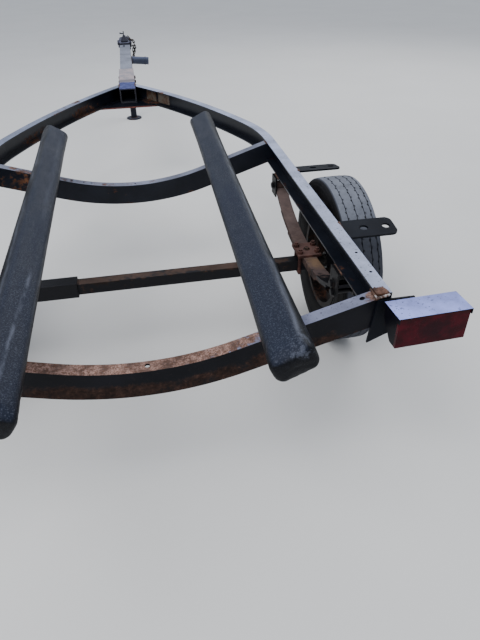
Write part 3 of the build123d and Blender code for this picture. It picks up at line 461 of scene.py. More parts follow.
def rubber(name, look):
    s = {"colour": (0.0025, 0.0025, 0.0030), "worn": (0.0085, 0.0080, 0.0088), "pale": (0.25, 0.27, 0.32),
         "rib": (0.043, 0.046, 0.058), "dirt": (0.034, 0.030, 0.027), "axle": (0, 0, 0),
         "treadFrom": 0.274, **look}
    material, tree, shader, place = startMaterial(name, 0.15)
    radial = vectorCalc(tree, "MULTIPLY", vectorCalc(tree, "SUBTRACT", place, s["axle"]), (0, 1, 1))
    radius = vectorCalc(tree, "LENGTH", radial, (0, 0, 0), "Value")
    cloudy = remap(tree, noise(tree, place, 9.0, 7, 0.66), 0.34, 0.7)
    colour = mixColour(tree, cloudy, s["colour"], s["worn"])
    # the tread's lighter blue-grey against near-black sidewalls: painted sky sheen on the tread, painted shade
    # on the sidewalls
    tread = remap(tree, radius, s["treadFrom"], s["treadFrom"] + 0.006)
    colour = mixColour(tree, tread, colour, s["rib"])
    # pale on the tread's upward faces: a painted reflection of the sky
    skySheenAndBloom = useGroup(tree, skySheenAndBloomGroup, {"Vector": place, "Scale": 12.0, "Amount": 0.62})["Mask"]
    colour = mixColour(tree, times(tree, tread, skySheenAndBloom), colour, s["pale"])
    dirty = useGroup(tree, rustGroup, {"Vector": place, "Scale": 22.0, "Amount": 0.36, "Softness": 0.09})
    colour = mixColour(tree, times(tree, dirty["Mask"], 0.35), colour, s["dirt"])
    groove = remap(tree, radius, s["treadFrom"] + 0.001, s["treadFrom"] + 0.006, 1.0, 0.0)
    inGroove = times(tree, groove, remap(tree, radius, s["treadFrom"] - 0.006, s["treadFrom"] - 0.001))
    colour = mixColour(tree, times(tree, inGroove, 0.35), colour, (0.012, 0.012, 0.014))
    height = plus(tree, noise(tree, place, 130.0, 5, 0.65), dirty["Height"])
    setSurface(tree, shader, colour, timesPlus(tree, dirty["Mask"], 0.15, 0.72), height, 0.4, 0.0010)
    return material


def redLens(name):
    material, tree, shader, place = startMaterial(name, 0.08)
    middles = [(at(way * 655, -87, -54), (0.055, 0.05, 0.035), 1.0) for way in (-1, 1)]
    cloudy = remap(tree, noise(tree, place, 26.0, 5, 0.6), 0.36, 0.66)
    colour = mixColour(tree, cloudy, (0.026, 0.0004, 0.0030), (0.062, 0.0006, 0.0060))
    dark = times(tree, patchSum(tree, place, 0.0, middles), 0.75)
    colour = mixColour(tree, dark, colour, (0.012, 0.001, 0.004))
    dust = useGroup(tree, rustGroup, {"Vector": place, "Scale": 45.0, "Amount": 0.24, "Softness": 0.10})
    colour = mixColour(tree, times(tree, dust["Mask"], 0.10), colour, (0.07, 0.02, 0.03))
    prisms = addNode(tree, "ShaderNodeTexChecker", {}, {"Vector": place, "Scale": 210.0}).outputs["Fac"]
    height = timesPlus(tree, prisms, 0.25, noise(tree, place, 70.0, 3, 0.5))
    setSurface(tree, shader, colour, timesPlus(tree, dust["Mask"], 0.3, 0.26), height, 0.25, 0.0006)
    shader.inputs["Coat Weight"].default_value = 0.04
    shader.inputs["Coat Roughness"].default_value = 0.15
    return material


def bareMetal(name, look):
    s = {"colour": (0.30, 0.30, 0.30), "dull": (0.13, 0.12, 0.11), "grease": (0.012, 0.010, 0.009),
         "greaseAmount": 0.4, "metal": 0.85, **look}
    material, tree, shader, place = startMaterial(name, 0.3)
    brushed = noise(tree, stretched(tree, place, (1.0, 9.0, 9.0)), 60.0, 5, 0.6)
    colour = mixColour(tree, remap(tree, brushed, 0.3, 0.7), s["dull"], s["colour"])
    grease = useGroup(tree, rustGroup, {
        "Vector": place, "Scale": 30.0, "Amount": s["greaseAmount"], "Softness": 0.08})
    colour = mixColour(tree, grease["Mask"], colour, s["grease"])
    feed(tree, shader.inputs["Metallic"], timesPlus(tree, grease["Mask"], -s["metal"], s["metal"]))
    setSurface(tree, shader, colour, timesPlus(tree, brushed, 0.25, 0.35), brushed, 0.2, 0.0006)
    return material


sleeveLook = {"rearEnd": at(0, tongue["sleeveRear"], 0), "bandEnd": 0.148, "shadowEnd": 0.20}


def sleevePaint(name):
    # pale chalky paint on the top, blue at the rear end, dark elsewhere
    s = sleeveLook
    material, tree, shader, place = startMaterial(name, 0.2)
    _, y, z = split(tree, place)
    along = minus(tree, y, s["rearEnd"].y)
    wander = timesPlus(tree, minus(tree, noise(tree, place, 30.0, 4, 0.6), 0.5), 0.05, along)
    band = remap(tree, wander, s["bandEnd"] - 0.005, s["bandEnd"] + 0.005, 1.0, 0.0)
    shadow = times(tree, remap(tree, wander, s["bandEnd"], s["bandEnd"] + 0.012),
                  remap(tree, wander, s["shadowEnd"], s["shadowEnd"] + 0.03, 1.0, 0.0))
    pale = mixColour(tree, remap(tree, noise(tree, place, 22.0, 7, 0.66), 0.38, 0.62),
                     (0.27, 0.26, 0.29), (0.42, 0.35, 0.36))
    scraped = remap(tree, noise(tree, place, 60.0, 5, 0.7), 0.56, 0.68)
    pale = mixColour(tree, scraped, pale, (0.15, 0.15, 0.18))
    pale = mixColour(tree, times(tree, shadow, 0.8), pale, (0.13, 0.12, 0.14))
    blue = mixColour(tree, remap(tree, noise(tree, place, 45.0, 6, 0.7), 0.4, 0.62),
                     (0.030, 0.040, 0.15), (0.085, 0.105, 0.27))
    colour = mixColour(tree, band, pale, blue)
    top = timesPlus(tree, along, tongue["rise"], s["rearEnd"].z)
    onTop = remap(tree, minus(tree, z, top), -0.004, -0.002)
    colour = mixColour(tree, onTop, (0.008, 0.009, 0.014), colour)
    rust = useGroup(tree, rustGroup, {"Vector": place, "Scale": 18.0, "Amount": 0.2})
    colour = mixColour(tree, rust["Mask"], colour, ramp(tree, rust["Tone"], rustStops))
    # pale grey along the edges: painted highlight, broken up like worn paint
    edge = useGroup(tree, edgeGroup, {"Vector": place, "Radius": 0.004, "Amount": 0.8})["Mask"]
    colour = mixColour(tree, times(tree, edge, 0.8), colour, (0.16, 0.155, 0.18))
    setSurface(tree, shader, colour, timesPlus(tree, rust["Mask"], 0.2, 0.6), rust["Height"], 0.5, 0.001)
    return material


def dressFrame():
    top = datum.z
    rearDish = {"Half": 0.578, "Top": top - 0.006, "Slope": 0.29, "Radius": 0.778}
    frontDish = {"Half": 0.578, "Top": top + 0.006, "Slope": 0.32, "Radius": 0.9}
    corners = [(at(way * 556, 12, 0), (0.026, 0.034, 0.022), 0.72) for way in (-1, 1)]
    crossCorners = [(at(way * 545, 18, -12), (0.034, 0.03, 0.02), 0.6) for way in (-1, 1)]
    # the pale blue tops here are a painted reflection of the sky over chalky bloom; the right rail's top is
    # painted brighter than the left's
    finishes = {
        "side_rail_right": paintedSteel("railPaintRight", {
            "skySheenAndBloom": (0.48, 0.53, 0.72), "topFrom": top - 0.003, "patches": corners + [
                (at(165, 2112, 0), (0.05, 0.05, 0.010), 0.30), (at(120, 2230, -70), (0.12, 0.12, 0.03), 0.34),
                (at(560, 60, -74), (0.05, 0.2, 0.012), 0.3), (at(548, 700, -52), (0.02, 0.7, 0.035), 0.26)]}),
        "side_rail_left": paintedSteel("railPaintLeft", {
            "skySheenAndBloom": (0.27, 0.31, 0.44), "topFrom": top - 0.003, "patches": corners + [
                (at(-278, 1990, 0), (0.06, 0.10, 0.012), 0.36), (at(-330, 1830, 0), (0.05, 0.10, 0.012), 0.26),
                (at(-230, 2050, -60), (0.20, 0.22, 0.035), 0.36),
                (at(-440, 1700, -62), (0.2, 0.22, 0.035), 0.36)]}),
        "rear_crossmember": paintedSteel("rearCrossPaint", {
            "paint": (0.0018, 0.0022, 0.0040), "shade": (0.0050, 0.0052, 0.0085), "gloss": 0.12,
            "skySheenAndBloom": (0.30, 0.32, 0.46), "rust": 0.08, "rustScale": 17.0, "dish": rearDish, "softness": 0.11,
            "lower": (0.020, 0.052, 0.56), "dust": (0.42, 0.265, 0.22), "dustAmount": 0.95,
            "rustStops": [(0.30, (0.005, 0.0035, 0.003)), (0.45, (0.017, 0.0095, 0.0075)),
                          (0.57, (0.040, 0.021, 0.0155)), (0.70, (0.10, 0.055, 0.042))],
            "topPatches": [(at(-90, 19, -128), (0.46, 0.08, 0.08), 1.3),
                           (at(-400, 19, -66), (0.34, 0.08, 0.09), 1.3)],
            "patches": crossCorners + [
                (at(240, 20, -100), (0.10, 0.03, 0.03), 0.22), (at(480, 0, -70), (0.30, 0.2, 0.045), -0.42)]}),
        "front_crossmember": paintedSteel("frontCrossPaint", {
            "skySheenAndBloom": (0.27, 0.29, 0.39), "rust": 0.12, "dish": frontDish, "lower": (0.050, 0.085, 0.30),
            "dustAmount": 0.7, "patches": [
                (at(-360, 1165, -66), (0.34, 0.03, 0.07), 0.46),
                (at(-40, 1165, -140), (0.30, 0.03, 0.05), 0.30)]}),
        # no painted sky sheen and no bloom on the gusset: its topFrom lies above the whole piece
        "apex_plate": paintedSteel("gussetPaint", {
            "topFrom": top + 1, "rust": 0.2, "edge": 0.7, "edgeColour": (0.11, 0.050, 0.044),
            "rustStops": [(0.3, (0.02, 0.007, 0.006)), (0.5, (0.12, 0.034, 0.026)),
                          (0.7, (0.22, 0.075, 0.055))],
            "patches": [(at(0, 2155, -79), (0.24, 0.006, 0.03), 0.7)]}),
        "tongue_rear_tube": sleevePaint("sleevePaint"),
        "tongue_front_tube": paintedSteel("tonguePaint", {
            "paint": (0.008, 0.009, 0.013), "shade": (0.014, 0.016, 0.022), "skySheenAndBloom": (0.28, 0.30, 0.37),
            "skySheenAndBloomAmount": 0.95, "roughness": 0.5, "rust": 0.16}),
        "jack_mount_stub": paintedSteel("stubPaint", {
            "paint": (0.030, 0.037, 0.064), "shade": (0.055, 0.066, 0.110), "skySheenAndBloom": (0.105, 0.125, 0.20),
            "skySheenAndBloomAmount": 0.75, "rust": 0.16}),
        "rail_plates": bareMetal("blankPlates", {
            "colour": (0.17, 0.145, 0.115), "dull": (0.085, 0.066, 0.050), "metal": 0.2,
            "grease": (0.065, 0.024, 0.011), "greaseAmount": 0.44}),
    }
    bracket = paintedSteel("bracketPaint", {
        "paint": (0.0022, 0.0030, 0.0050), "shade": (0.0055, 0.0070, 0.0115), "skySheenAndBloomAmount": 0.012,
        "rust": 0.16, "roughness": 0.5, "gloss": 0.08})
    legPaint = paintedSteel("jackLegPaint", {"skySheenAndBloomAmount": 0.1, "rust": 0.34, "roughness": 0.5, "gloss": 0.15})
    jack = paintedSteel("jackPaint", {
        "paint": (0.010, 0.010, 0.017), "shade": (0.022, 0.023, 0.036), "rust": 0.24,
        "skySheenAndBloom": (0.10, 0.105, 0.17), "skySheenAndBloomAmount": 0.6, "roughness": 0.5})
    jackTube = paintedSteel("jackTubePaint", {
        "paint": (0.010, 0.010, 0.017), "skySheenAndBloom": (0.22, 0.23, 0.33), "rust": 0.22, "roughness": 0.5})
    rust = rustySteel("bareRust", {})
    clampRust = rustySteel("clampRust", {
        "mid": (0.055, 0.022, 0.018), "light": (0.14, 0.062, 0.048),
        "skySheenAndBloom": (0.21, 0.125, 0.11), "skySheenAndBloomAmount": 0.55, "paintAmount": 0.22})
    springRust = rustySteel("springRust", {
        "mid": (0.050, 0.030, 0.025), "light": (0.125, 0.080, 0.066), "paintAmount": 0.2,
        "skySheenAndBloom": (0.165, 0.120, 0.112), "skySheenAndBloomAmount": 0.7,
        # near black over the rear half of each spring
        "patches": [(at(way * 562, 250, -160), (0.10, 0.23, 0.10), 1.0) for way in (1, -1)],
        "tan": [(at(570, 510, -185), (0.040, 0.062, 0.05), 0.75)]})
    # the spring hangers are made near black
    hangerNearBlackSteel = rustySteel("hangerNearBlack", {
        "paint": (0.003, 0.003, 0.004), "paintAmount": 0.85, "skySheenAndBloomAmount": 0.1})
    axleRust = rustySteel("axleRust", {
        "mid": (0.022, 0.013, 0.010), "light": (0.07, 0.038, 0.026), "paint": (0.004, 0.004, 0.006),
        "skySheenAndBloom": (0.090, 0.058, 0.046), "skySheenAndBloomAmount": 0.7, "paintAmount": 0.70,
        "patches": [(at(330, 595, -231), (0.2, 0.03, 0.015), -0.3),
                    (at(0, 595, -231), (0.5, 0.03, 0.010), -0.25)]})
    sleeveRust = rustySteel("axleSleevePaint", {
        "paintAmount": 0.88, "skySheenAndBloom": (0.05, 0.052, 0.064), "skySheenAndBloomAmount": 0.7})
    # hub and rim near black: painted shade from inside the tyre, over rust and worn paint
    drum = rustySteel("hubRustAndShade", {
        "mid": (0.020, 0.012, 0.010), "light": (0.060, 0.036, 0.026), "paintAmount": 0.66})
    spindle = bareMetal("turnedSpindle", {"colour": (0.10, 0.095, 0.090), "dull": (0.045, 0.040, 0.036)})
    rimPaintAndShade = paintedSteel("rimPaintAndShade", {
        "paint": (0.0075, 0.0068, 0.0070), "shade": (0.019, 0.016, 0.015), "skySheenAndBloomAmount": 0.0, "rust": 0.38,
        "roughness": 0.55, "edge": 0.4, "edgeColour": (0.055, 0.040, 0.032), "gloss": 0.12, "softness": 0.1})
    chain = rustySteel("chainSteel", {
        "mid": (0.035, 0.028, 0.026), "light": (0.09, 0.075, 0.070), "paintAmount": 0.4})
    # the box's top is bright blue: a painted reflection of the sky
    housing = paintedSteel("lightHousing", {
        "paint": (0.0015, 0.0018, 0.0035), "shade": (0.0045, 0.0042, 0.0075), "gloss": 0.1,
        "topFrom": top - 0.0145, "skySheenAndBloom": (0.40, 0.46, 0.98), "skySheenAndBloomAmount": 0.9, "rust": 0.05,
        "roughness": 0.4, "edge": 0.15})
    # by the start of the names, where several pieces share a finish
    shared = {
        "fender_brackets": bracket, "light_plate": bracket, "light_box": housing,
        "light_lens": redLens("redLens"), "coupler": jack, "tongue_jack_tube": jackTube,
        "tongue_jack_crank": jack, "tongue_jack_leg": legPaint, "safety_chain": chain,
        "axle_beam": axleRust, "axle_sleeve": sleeveRust, "leaf_spring": springRust,
        "spring_clamp": clampRust, "spring_hangers": hangerNearBlackSteel, "wheel_spindle": spindle,
        "wheel_hub": drum, "wheel_rim": rimPaintAndShade, "bunk_brackets": rust,
    }
    for name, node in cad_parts.items():
        stem = next((key for key in sorted(shared, key=len, reverse=True) if name.startswith(key)), None)
        material = finishes.get(name) or shared.get(stem)
        if material is None:
            continue
        node.data.materials.clear()
        node.data.materials.append(material)
    return {"rust": rust, "hanger": hangerNearBlackSteel, "jack": jack, "bracket": bracket, "drum": drum}


steel = dressFrame()
print("frame pieces dressed")


# Modelling helpers

def clearSelection():
    if bpy.context.object and bpy.context.object.mode != "OBJECT":
        bpy.ops.object.mode_set(mode="OBJECT")
    bpy.ops.object.select_all(action="DESELECT")


def activate(piece):
    clearSelection()
    piece.select_set(True)
    bpy.context.view_layer.objects.active = piece


def startEdit(piece, mode="FACE"):
    activate(piece)
    bpy.ops.object.mode_set(mode="EDIT")
    bpy.ops.mesh.select_mode(type=mode)
    bpy.ops.mesh.select_all(action="DESELECT")


def pickFaces(piece, wanted):
    bpy.ops.mesh.select_all(action="DESELECT")
    mesh = bmesh.from_edit_mesh(piece.data)
    for face in mesh.faces:
        if wanted(face.calc_center_median(), face.normal):
            face.select_set(True)
    bmesh.update_edit_mesh(piece.data)


def pickEdges(piece, wanted):
    bpy.ops.mesh.select_all(action="DESELECT")
    mesh = bmesh.from_edit_mesh(piece.data)
    for edge in mesh.edges:
        if wanted(edge.verts[0].co, edge.verts[1].co):
            edge.select_set(True)
    bmesh.update_edit_mesh(piece.data)


def cutAcross(place, normal):
    bpy.ops.mesh.select_all(action="SELECT")
    bpy.ops.mesh.bisect(plane_co=place, plane_no=normal)


def pointOut():
    bpy.ops.mesh.select_all(action="SELECT")
    bpy.ops.mesh.normals_make_consistent(inside=False)
    bpy.ops.object.mode_set(mode="OBJECT")


def useModifier(piece, kind, settings):
    activate(piece)
    modifier = piece.modifiers.new(kind.lower(), kind)
    for key, value in settings.items():
        setattr(modifier, key, value)
    bpy.ops.object.modifier_apply(modifier=modifier.name)


def settle(piece):
    activate(piece)
    bpy.ops.object.transform_apply(location=True, rotation=True, scale=True)


def smooth(piece, degrees=32):
    activate(piece)
    bpy.ops.object.shade_smooth_by_angle(angle=math.radians(degrees))


def finishPiece(piece, name, material, body):
    settle(piece)
    piece.name = name
    piece.data.name = name
    piece.data.materials.clear()
    piece.data.materials.append(material)
    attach(piece, body)


def copyTo(model, place, direction=(0, 0, 1), spin=0.0):
    twin = model.copy()
    twin.data = model.data.copy()
    bpy.context.scene.collection.objects.link(twin)
    turn = Vector(direction).to_track_quat("Z", "Y").to_matrix().to_4x4()
    twin.matrix_world = Matrix.Translation(place) @ turn @ Matrix.Rotation(spin, 4, "Z")
    return twin


def joinPieces(pieces):
    clearSelection()
    for piece in pieces:
        piece.select_set(True)
    bpy.context.view_layer.objects.active = pieces[0]
    bpy.ops.object.join()
    return bpy.context.object


def joinCopies(model, places):
    twins = [copyTo(model, *place) for place in places]
    bpy.data.objects.remove(model)
    for twin in twins:
        settle(twin)
    return joinPieces(twins)


def placeCopies(model, places, name, material, body):
    finishPiece(joinCopies(model, places), name, material, body)


def growOut(move, scale, centre=(0, 0, 0)):
    bpy.ops.mesh.extrude_region_move(TRANSFORM_OT_translate={"value": move})
    bpy.ops.transform.resize(value=scale, center_override=centre)


def turnUp(steps, vertices=16):
    # grows a round or many-sided piece upwards from its foot, one step of height and radius at a time
    height, radius = steps[0]
    clearSelection()
    bpy.ops.mesh.primitive_circle_add(vertices=vertices, radius=radius, fill_type="NGON",
                                      location=(0, 0, height))
    piece = bpy.context.object
    settle(piece)
    startEdit(piece)
    bpy.ops.mesh.select_all(action="SELECT")
    for newHeight, newRadius in steps[1:]:
        scale = newRadius / radius
        growOut((0, 0, newHeight - height), (scale, scale, 1), (0, 0, newHeight))
        height, radius = newHeight, newRadius
    pointOut()
    smooth(piece, 40)
    return piece


# Bunk covers, vinyl pulled tight over padded boards

bunkCover = {
    "right": {"rear": at(277, -215, 35), "front": at(307, 1510, 35), "tilt": -25, "ridge": None,
              # pale lines, rubbed wear and painted highlights: from, to, width, strength
              "lines": [((0.039, 0.53, 0), (0.041, -0.80, 0), 0.0045, 0.42),
                        ((0.041, -0.45, 0), (0.034, -0.83, 0), 0.007, 0.5)],
              "patches": [(at(304, -188, 42), (0.028, 0.045, 0.035), 0.30),
                          (at(280, -212, 32), (0.045, 0.010, 0.02), 0.26),
                          (at(318, -120, 45), (0.016, 0.10, 0.03), 0.22)]},
    "left": {"rear": at(-249, -260, 35), "front": at(-290, 1430, 35), "tilt": 36,
             "ridge": (0.016, -0.010), "ridgeRise": 0.0035,
             "lines": [((-0.047, 0.72, 0), (-0.043, 0.20, 0), 0.0045, 0.40),
                       ((-0.044, 0.10, 0), (-0.040, -0.60, 0), 0.004, 0.30),
                       ((0.015, 0.72, 0), (0.010, -0.10, 0), 0.012, 0.16),
                       ((0.012, -0.35, 0), (-0.009, -0.83, 0), 0.007, 0.62),
                       ((0.036, -0.30, 0), (0.034, -0.62, 0), 0.004, 0.25)],
             "patches": [(at(-300, 1250, 40), (0.03, 0.25, 0.05), 0.12)]},
    "width": 0.104, "thickness": 0.067, "corner": 0.023, "endRound": 0.012, "voxel": 0.006,
    "pressure": 4, "clothFrames": 20, "cap": 0.004,
    "ripples": 26, "rippleReach": (0.02, 0.06), "rippleRise": (-0.0007, 0.0009),
    "pleats": 11, "pleatReach": 0.014, "pleatDepth": 0.0012,
    "hem": 0.006, "hemEnd": 0.016, "recess": 0.034, "recessDepth": 0.0028,
    "board": 0.060, "boardEnd": 0.02, "boardThick": 0.004, "boardBevel": 0.0012, "boardLift": 0.0027,
    "staple": (0.011, 0.0014, 0.0012), "stapleBevel": 0.0004, "staplePitch": 0.055, "stapleSide": 0.038,
    "stapleSlip": 0.006, "stapleTurn": 0.5, "stapleSink": 0.0002,
}


def inflate(pad, fixed):
    # soft padding under the cover: a short cloth simulation, with each point kept near where it began
    start = [vertex.co.copy() for vertex in pad.data.vertices]
    group = pad.vertex_groups.new(name="held")
    group.add([index for index, place in enumerate(start) if fixed(place)], 1.0, "REPLACE")
    activate(pad)
    modifier = pad.modifiers.new("cloth", "CLOTH")
    modifier.settings.use_pressure = True
    modifier.settings.uniform_pressure_force = bunkCover["pressure"]
    modifier.settings.effector_weights.gravity = 0
    modifier.settings.vertex_group_mass = "held"
    for number in range(1, bunkCover["clothFrames"] + 1):
        bpy.context.scene.frame_set(number)
    bpy.ops.object.modifier_apply(modifier=modifier.name)
    bpy.context.scene.frame_set(1)
    cap = bunkCover["cap"]
    for vertex, place in zip(pad.data.vertices, start):
        step = vertex.co - place
        if step.length > cap:
            vertex.co = place + step.normalized() * cap
    pad.vertex_groups.clear()


def bunkBlock(width, length, thickness):
    clearSelection()
    bpy.ops.mesh.primitive_cube_add(size=1)
    block = bpy.context.object
    block.scale = (width, length, thickness)
    settle(block)
    return block


def pullCover(pad, side, length):
    # small unevenness of the pull, the left cover's soft ridge, pleats at the ends and the hem below
    s, size = bunkCover[side], bunkCover
    half, deep = size["width"] / 2, size["thickness"]
    draw = random.Random(5 + len(side))
    ripples = [(draw.uniform(-length / 2, length / 2), draw.uniform(*size["rippleReach"]),
                draw.uniform(*size["rippleRise"])) for _ in range(size["ripples"])]
    for vertex in pad.data.vertices:
        x, y, z = vertex.co
        if z > -deep / 2:
            vertex.co.z += sum(rise * math.exp(-((y - middle) / reach) ** 2)
                               for middle, reach, rise in ripples)
            if s["ridge"]:
                share = (y + length / 2) / length
                crest = s["ridge"][1] + (s["ridge"][0] - s["ridge"][1]) * share
                vertex.co.z += s["ridgeRise"] * max(0, 1 - abs(x - crest) / (half + abs(crest)))
        fromEnd = length / 2 - abs(y)
        if fromEnd < size["pleatReach"] and z < -deep / 2:
            turn = math.atan2(z + deep / 2, x)
            fold = 0.5 + 0.5 * math.sin(size["pleats"] * turn)
            vertex.co.y -= math.copysign(size["pleatDepth"] * fold, y)
        if z < size["hem"] - deep and abs(x) < size["recess"] and fromEnd > size["hemEnd"]:
            vertex.co.z += size["recessDepth"]


def setOnBunk(piece, side, material, name):
    # from the bunk's own place, X across, Y along and Z up from its top, onto the trailer
    s = bunkCover[side]
    piece.rotation_euler = s["turn"]
    piece.location = s["middle"]
    finishPiece(piece, name, material, "frame")


def makeBunkCover(side):
    s, size = bunkCover[side], bunkCover
    run = s["front"] - s["rear"]
    length = run.length
    s["middle"] = (s["rear"] + s["front"]) / 2
    s["turn"] = (0, math.radians(s["tilt"]), -math.atan2(run.x, run.y))
    s["fadeFrom"], s["fadeTo"] = -length / 2, length / 4
    grow = size["cap"] * 0.75
    tall = size["thickness"] - grow
    pad = bunkBlock(size["width"] - 2 * grow, length - 2 * grow, tall)
    startEdit(pad, "EDGE")
    pickEdges(pad, lambda a, b: abs(a.y - b.y) > length / 2)
    bpy.ops.mesh.bevel(offset=size["corner"] - grow, segments=6)
    pickEdges(pad, lambda a, b: abs(a.y - b.y) < 0.001 and abs(a.y) > length / 2 - 2 * grow)
    bpy.ops.mesh.bevel(offset=size["endRound"], segments=4)
    bpy.ops.object.mode_set(mode="OBJECT")
    pad.data.remesh_voxel_size = size["voxel"]
    bpy.ops.object.voxel_remesh()
    inflate(pad, lambda place: place.z < 0.004 - tall / 2)
    pad.location = (0, 0, tall / 2 - size["thickness"])
    settle(pad)
    pullCover(pad, side, length)
    useModifier(pad, "SUBSURF", {"levels": 1, "render_levels": 1})
    bpy.ops.object.shade_smooth()
    setOnBunk(pad, side, vinyl("bunkVinyl" + side.capitalize(), s), "bunkCover_" + side)
    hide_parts("bunk_" + side)
    return length


def lowerRounded(block, offset, segments):
    startEdit(block, "EDGE")
    pickEdges(block, lambda a, b: a.z < 0 and b.z < 0)
    bpy.ops.mesh.bevel(offset=offset, segments=segments)
    bpy.ops.object.mode_set(mode="OBJECT")
    return block


def makeBunkBoard(side, length, wood):
    size = bunkCover
    board = bunkBlock(size["board"], length - 2 * size["boardEnd"], size["boardThick"])
    lowerRounded(board, size["boardBevel"], 2)
    board.location = (0, 0, size["boardLift"] - size["thickness"])
    settle(board)
    setOnBunk(board, side, wood, "bunkBoard_" + side)


def makeStaples(side, length, material):
    size = bunkCover
    staple = lowerRounded(bunkBlock(*size["staple"]), size["stapleBevel"], 1)
    count = int(length / size["staplePitch"]) - 1
    draw = random.Random(40 + len(side))
    places = []
    for index in range(count):
        middle = (index - (count - 1) / 2) * size["staplePitch"]
        for way in (-1, 1):
            y = middle + draw.uniform(-size["stapleSlip"], size["stapleSlip"])
            shift = Vector((way * size["stapleSide"], y, -size["thickness"] - size["stapleSink"]))
            places.append((shift, (0, 0, 1), draw.uniform(-size["stapleTurn"], size["stapleTurn"])))
    setOnBunk(joinCopies(staple, places), side, material, "bunkStaples_" + side)


boardWood = timber("weatheredTimber")
stapleSteel = bareMetal("stapleSteel", {"greaseAmount": 0.3})
for side in ("right", "left"):
    bunkLength = makeBunkCover(side)
    makeBunkBoard(side, bunkLength, boardWood)
    makeStaples(side, bunkLength, stapleSteel)
print("bunk covers made")


# Tyres

tyreShape = {
    "axle": at(668, 595, -250), "radius": 0.283, "treadHalf": 0.053, "segments": 240,
    "grooves": (-0.034, -0.005, 0.0215, 0.042), "grooveHalf": 0.0011, "grooveDepth": 0.0055, "notch": 0.0034,
    "notchDepth": 0.0026, "notchEvery": 5, "shoulderCut": 0.0525, "treadBand": 0.012, "surfaceBand": 0.006,
    # steps out from the tread's edge: X, radius
    "sidewall": ((0.0560, 0.2770), (0.0590, 0.2700), (0.0600, 0.2690), (0.0618, 0.2600), (0.0626, 0.2590),
                 (0.0642, 0.2450), (0.0648, 0.2330), (0.0655, 0.2320), (0.0654, 0.2250), (0.0646, 0.2240),
                 (0.0636, 0.2100), (0.0606, 0.1930), (0.0613, 0.1920), (0.0602, 0.1860), (0.0560, 0.1740),
                 (0.0500, 0.1686), (0.0500, 0.1530)),
    # how much the tread falls away outside a given X
    "crown": ((0.030, 0.9975), (0.044, 0.994)),
}


def wheelCentre(side):
    # the wheel's centre, and which way is outwards
    way = 1 if side == "right" else -1
    x, y, z = tyreShape["axle"]
    return Vector((way * x, y, z)), way


def makeTyre(side):
    s = tyreShape
    axle, way = wheelCentre(side)
    grooves = [way * place for place in s["grooves"]]
    clearSelection()
    bpy.ops.mesh.primitive_cylinder_add(vertices=s["segments"], radius=s["radius"],
                                        depth=2 * s["treadHalf"], rotation=(0, math.pi / 2, 0))
    tyre = bpy.context.object
    settle(tyre)
    startEdit(tyre)
    half, outer = s["grooveHalf"], s["grooveHalf"] + s["notch"]
    lines = [place + shift for place in grooves for shift in (-outer, -half, half, outer)]
    for line in lines + [-s["shoulderCut"], s["shoulderCut"]]:
        cutAcross((line, 0, 0), (1, 0, 0))
    edgeRadius = s["radius"]
    for outside, scale in s["crown"]:
        pickEdges(tyre, lambda a, b: abs(a.x) > outside and abs(b.x) > outside)
        bpy.ops.transform.resize(value=(1, scale, scale), center_override=(0, 0, 0))
        edgeRadius *= scale

    def isTread(centre, normal):
        return abs(normal.x) < 0.5 and math.hypot(centre.y, centre.z) > s["radius"] - s["treadBand"]

    def sink(depth):
        inward = 1 - depth / s["radius"]
        bpy.ops.mesh.extrude_region_move()
        bpy.ops.transform.resize(value=(1, inward, inward), center_override=(0, 0, 0))

    for end in (-1, 1):  # sidewalls grow out of the two round ends
        pickFaces(tyre, lambda centre, normal: normal.x * end > 0.9)
        x, radius = s["treadHalf"], edgeRadius
        for newX, newRadius in s["sidewall"]:
            scale = newRadius / radius
            growOut((end * (newX - x), 0, 0), (1, scale, scale))
            x, radius = newX, newRadius
    pickFaces(tyre, lambda centre, normal: abs(normal.x) > 0.9 and math.hypot(centre.y, centre.z) < 0.01)
    bpy.ops.mesh.delete(type="FACE")
    bead = s["sidewall"][-1][1] + 0.0001
    pickEdges(tyre, lambda a, b: all(math.hypot(p.y, p.z) < bead for p in (a, b)) and abs(a.x - b.x) < 0.001)
    bpy.ops.mesh.bridge_edge_loops()

    pickFaces(tyre, lambda centre, normal: isTread(centre, normal)
              and any(abs(centre.x - place) < half for place in grooves))
    sink(s["grooveDepth"])
    step = 2 * math.pi / s["segments"]

    def isNotch(centre, normal):
        if math.hypot(centre.y, centre.z) < s["radius"] - s["surfaceBand"] or not isTread(centre, normal):
            return False
        for number, place in enumerate(grooves):
            away = centre.x - place
            if half < abs(away) < outer:
                index = round(math.atan2(centre.z, centre.y) / step - 0.5) + number + (2 if away > 0 else 0)
                return index % s["notchEvery"] == 0
        return False

    pickFaces(tyre, isNotch)
    sink(s["notchDepth"])
    pointOut()
    smooth(tyre)
    tyre.location = axle
    finishPiece(tyre, "tyreRubber_" + side, rubber("tyreRubber" + side.capitalize(), {"axle": axle}),
                "wheel_" + side)
    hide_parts("tyre_" + side)


for side in ("right", "left"):
    makeTyre(side)
print("tyres made")


# Wheel nuts, valves and grease cap rings

wheelTrim = {
    # turned pieces: height, radius
    "nut": ((0, 0.0122), (0.003, 0.0122), (0.010, 0.0115), (0.0125, 0.0095)),
    "valve": ((0, 0.0075), (0.003, 0.0070), (0.006, 0.0048), (0.018, 0.0046), (0.019, 0.0040),
              (0.027, 0.0040), (0.0275, 0.0034)),
    "capRing": ((0, 0.0285), (0.0015, 0.0292), (0.005, 0.0292), (0.0065, 0.0262), (0.0068, 0.0245)),
    # places outwards from the wheel's centre plane and round it
    "lugFace": 0.014, "lugCircle": 0.0508, "capFrom": 0.029,
    "valvePlace": (0.0258, 0.1374), "valveLean": (0.909, -0.414), "valveTurn": 62,
}


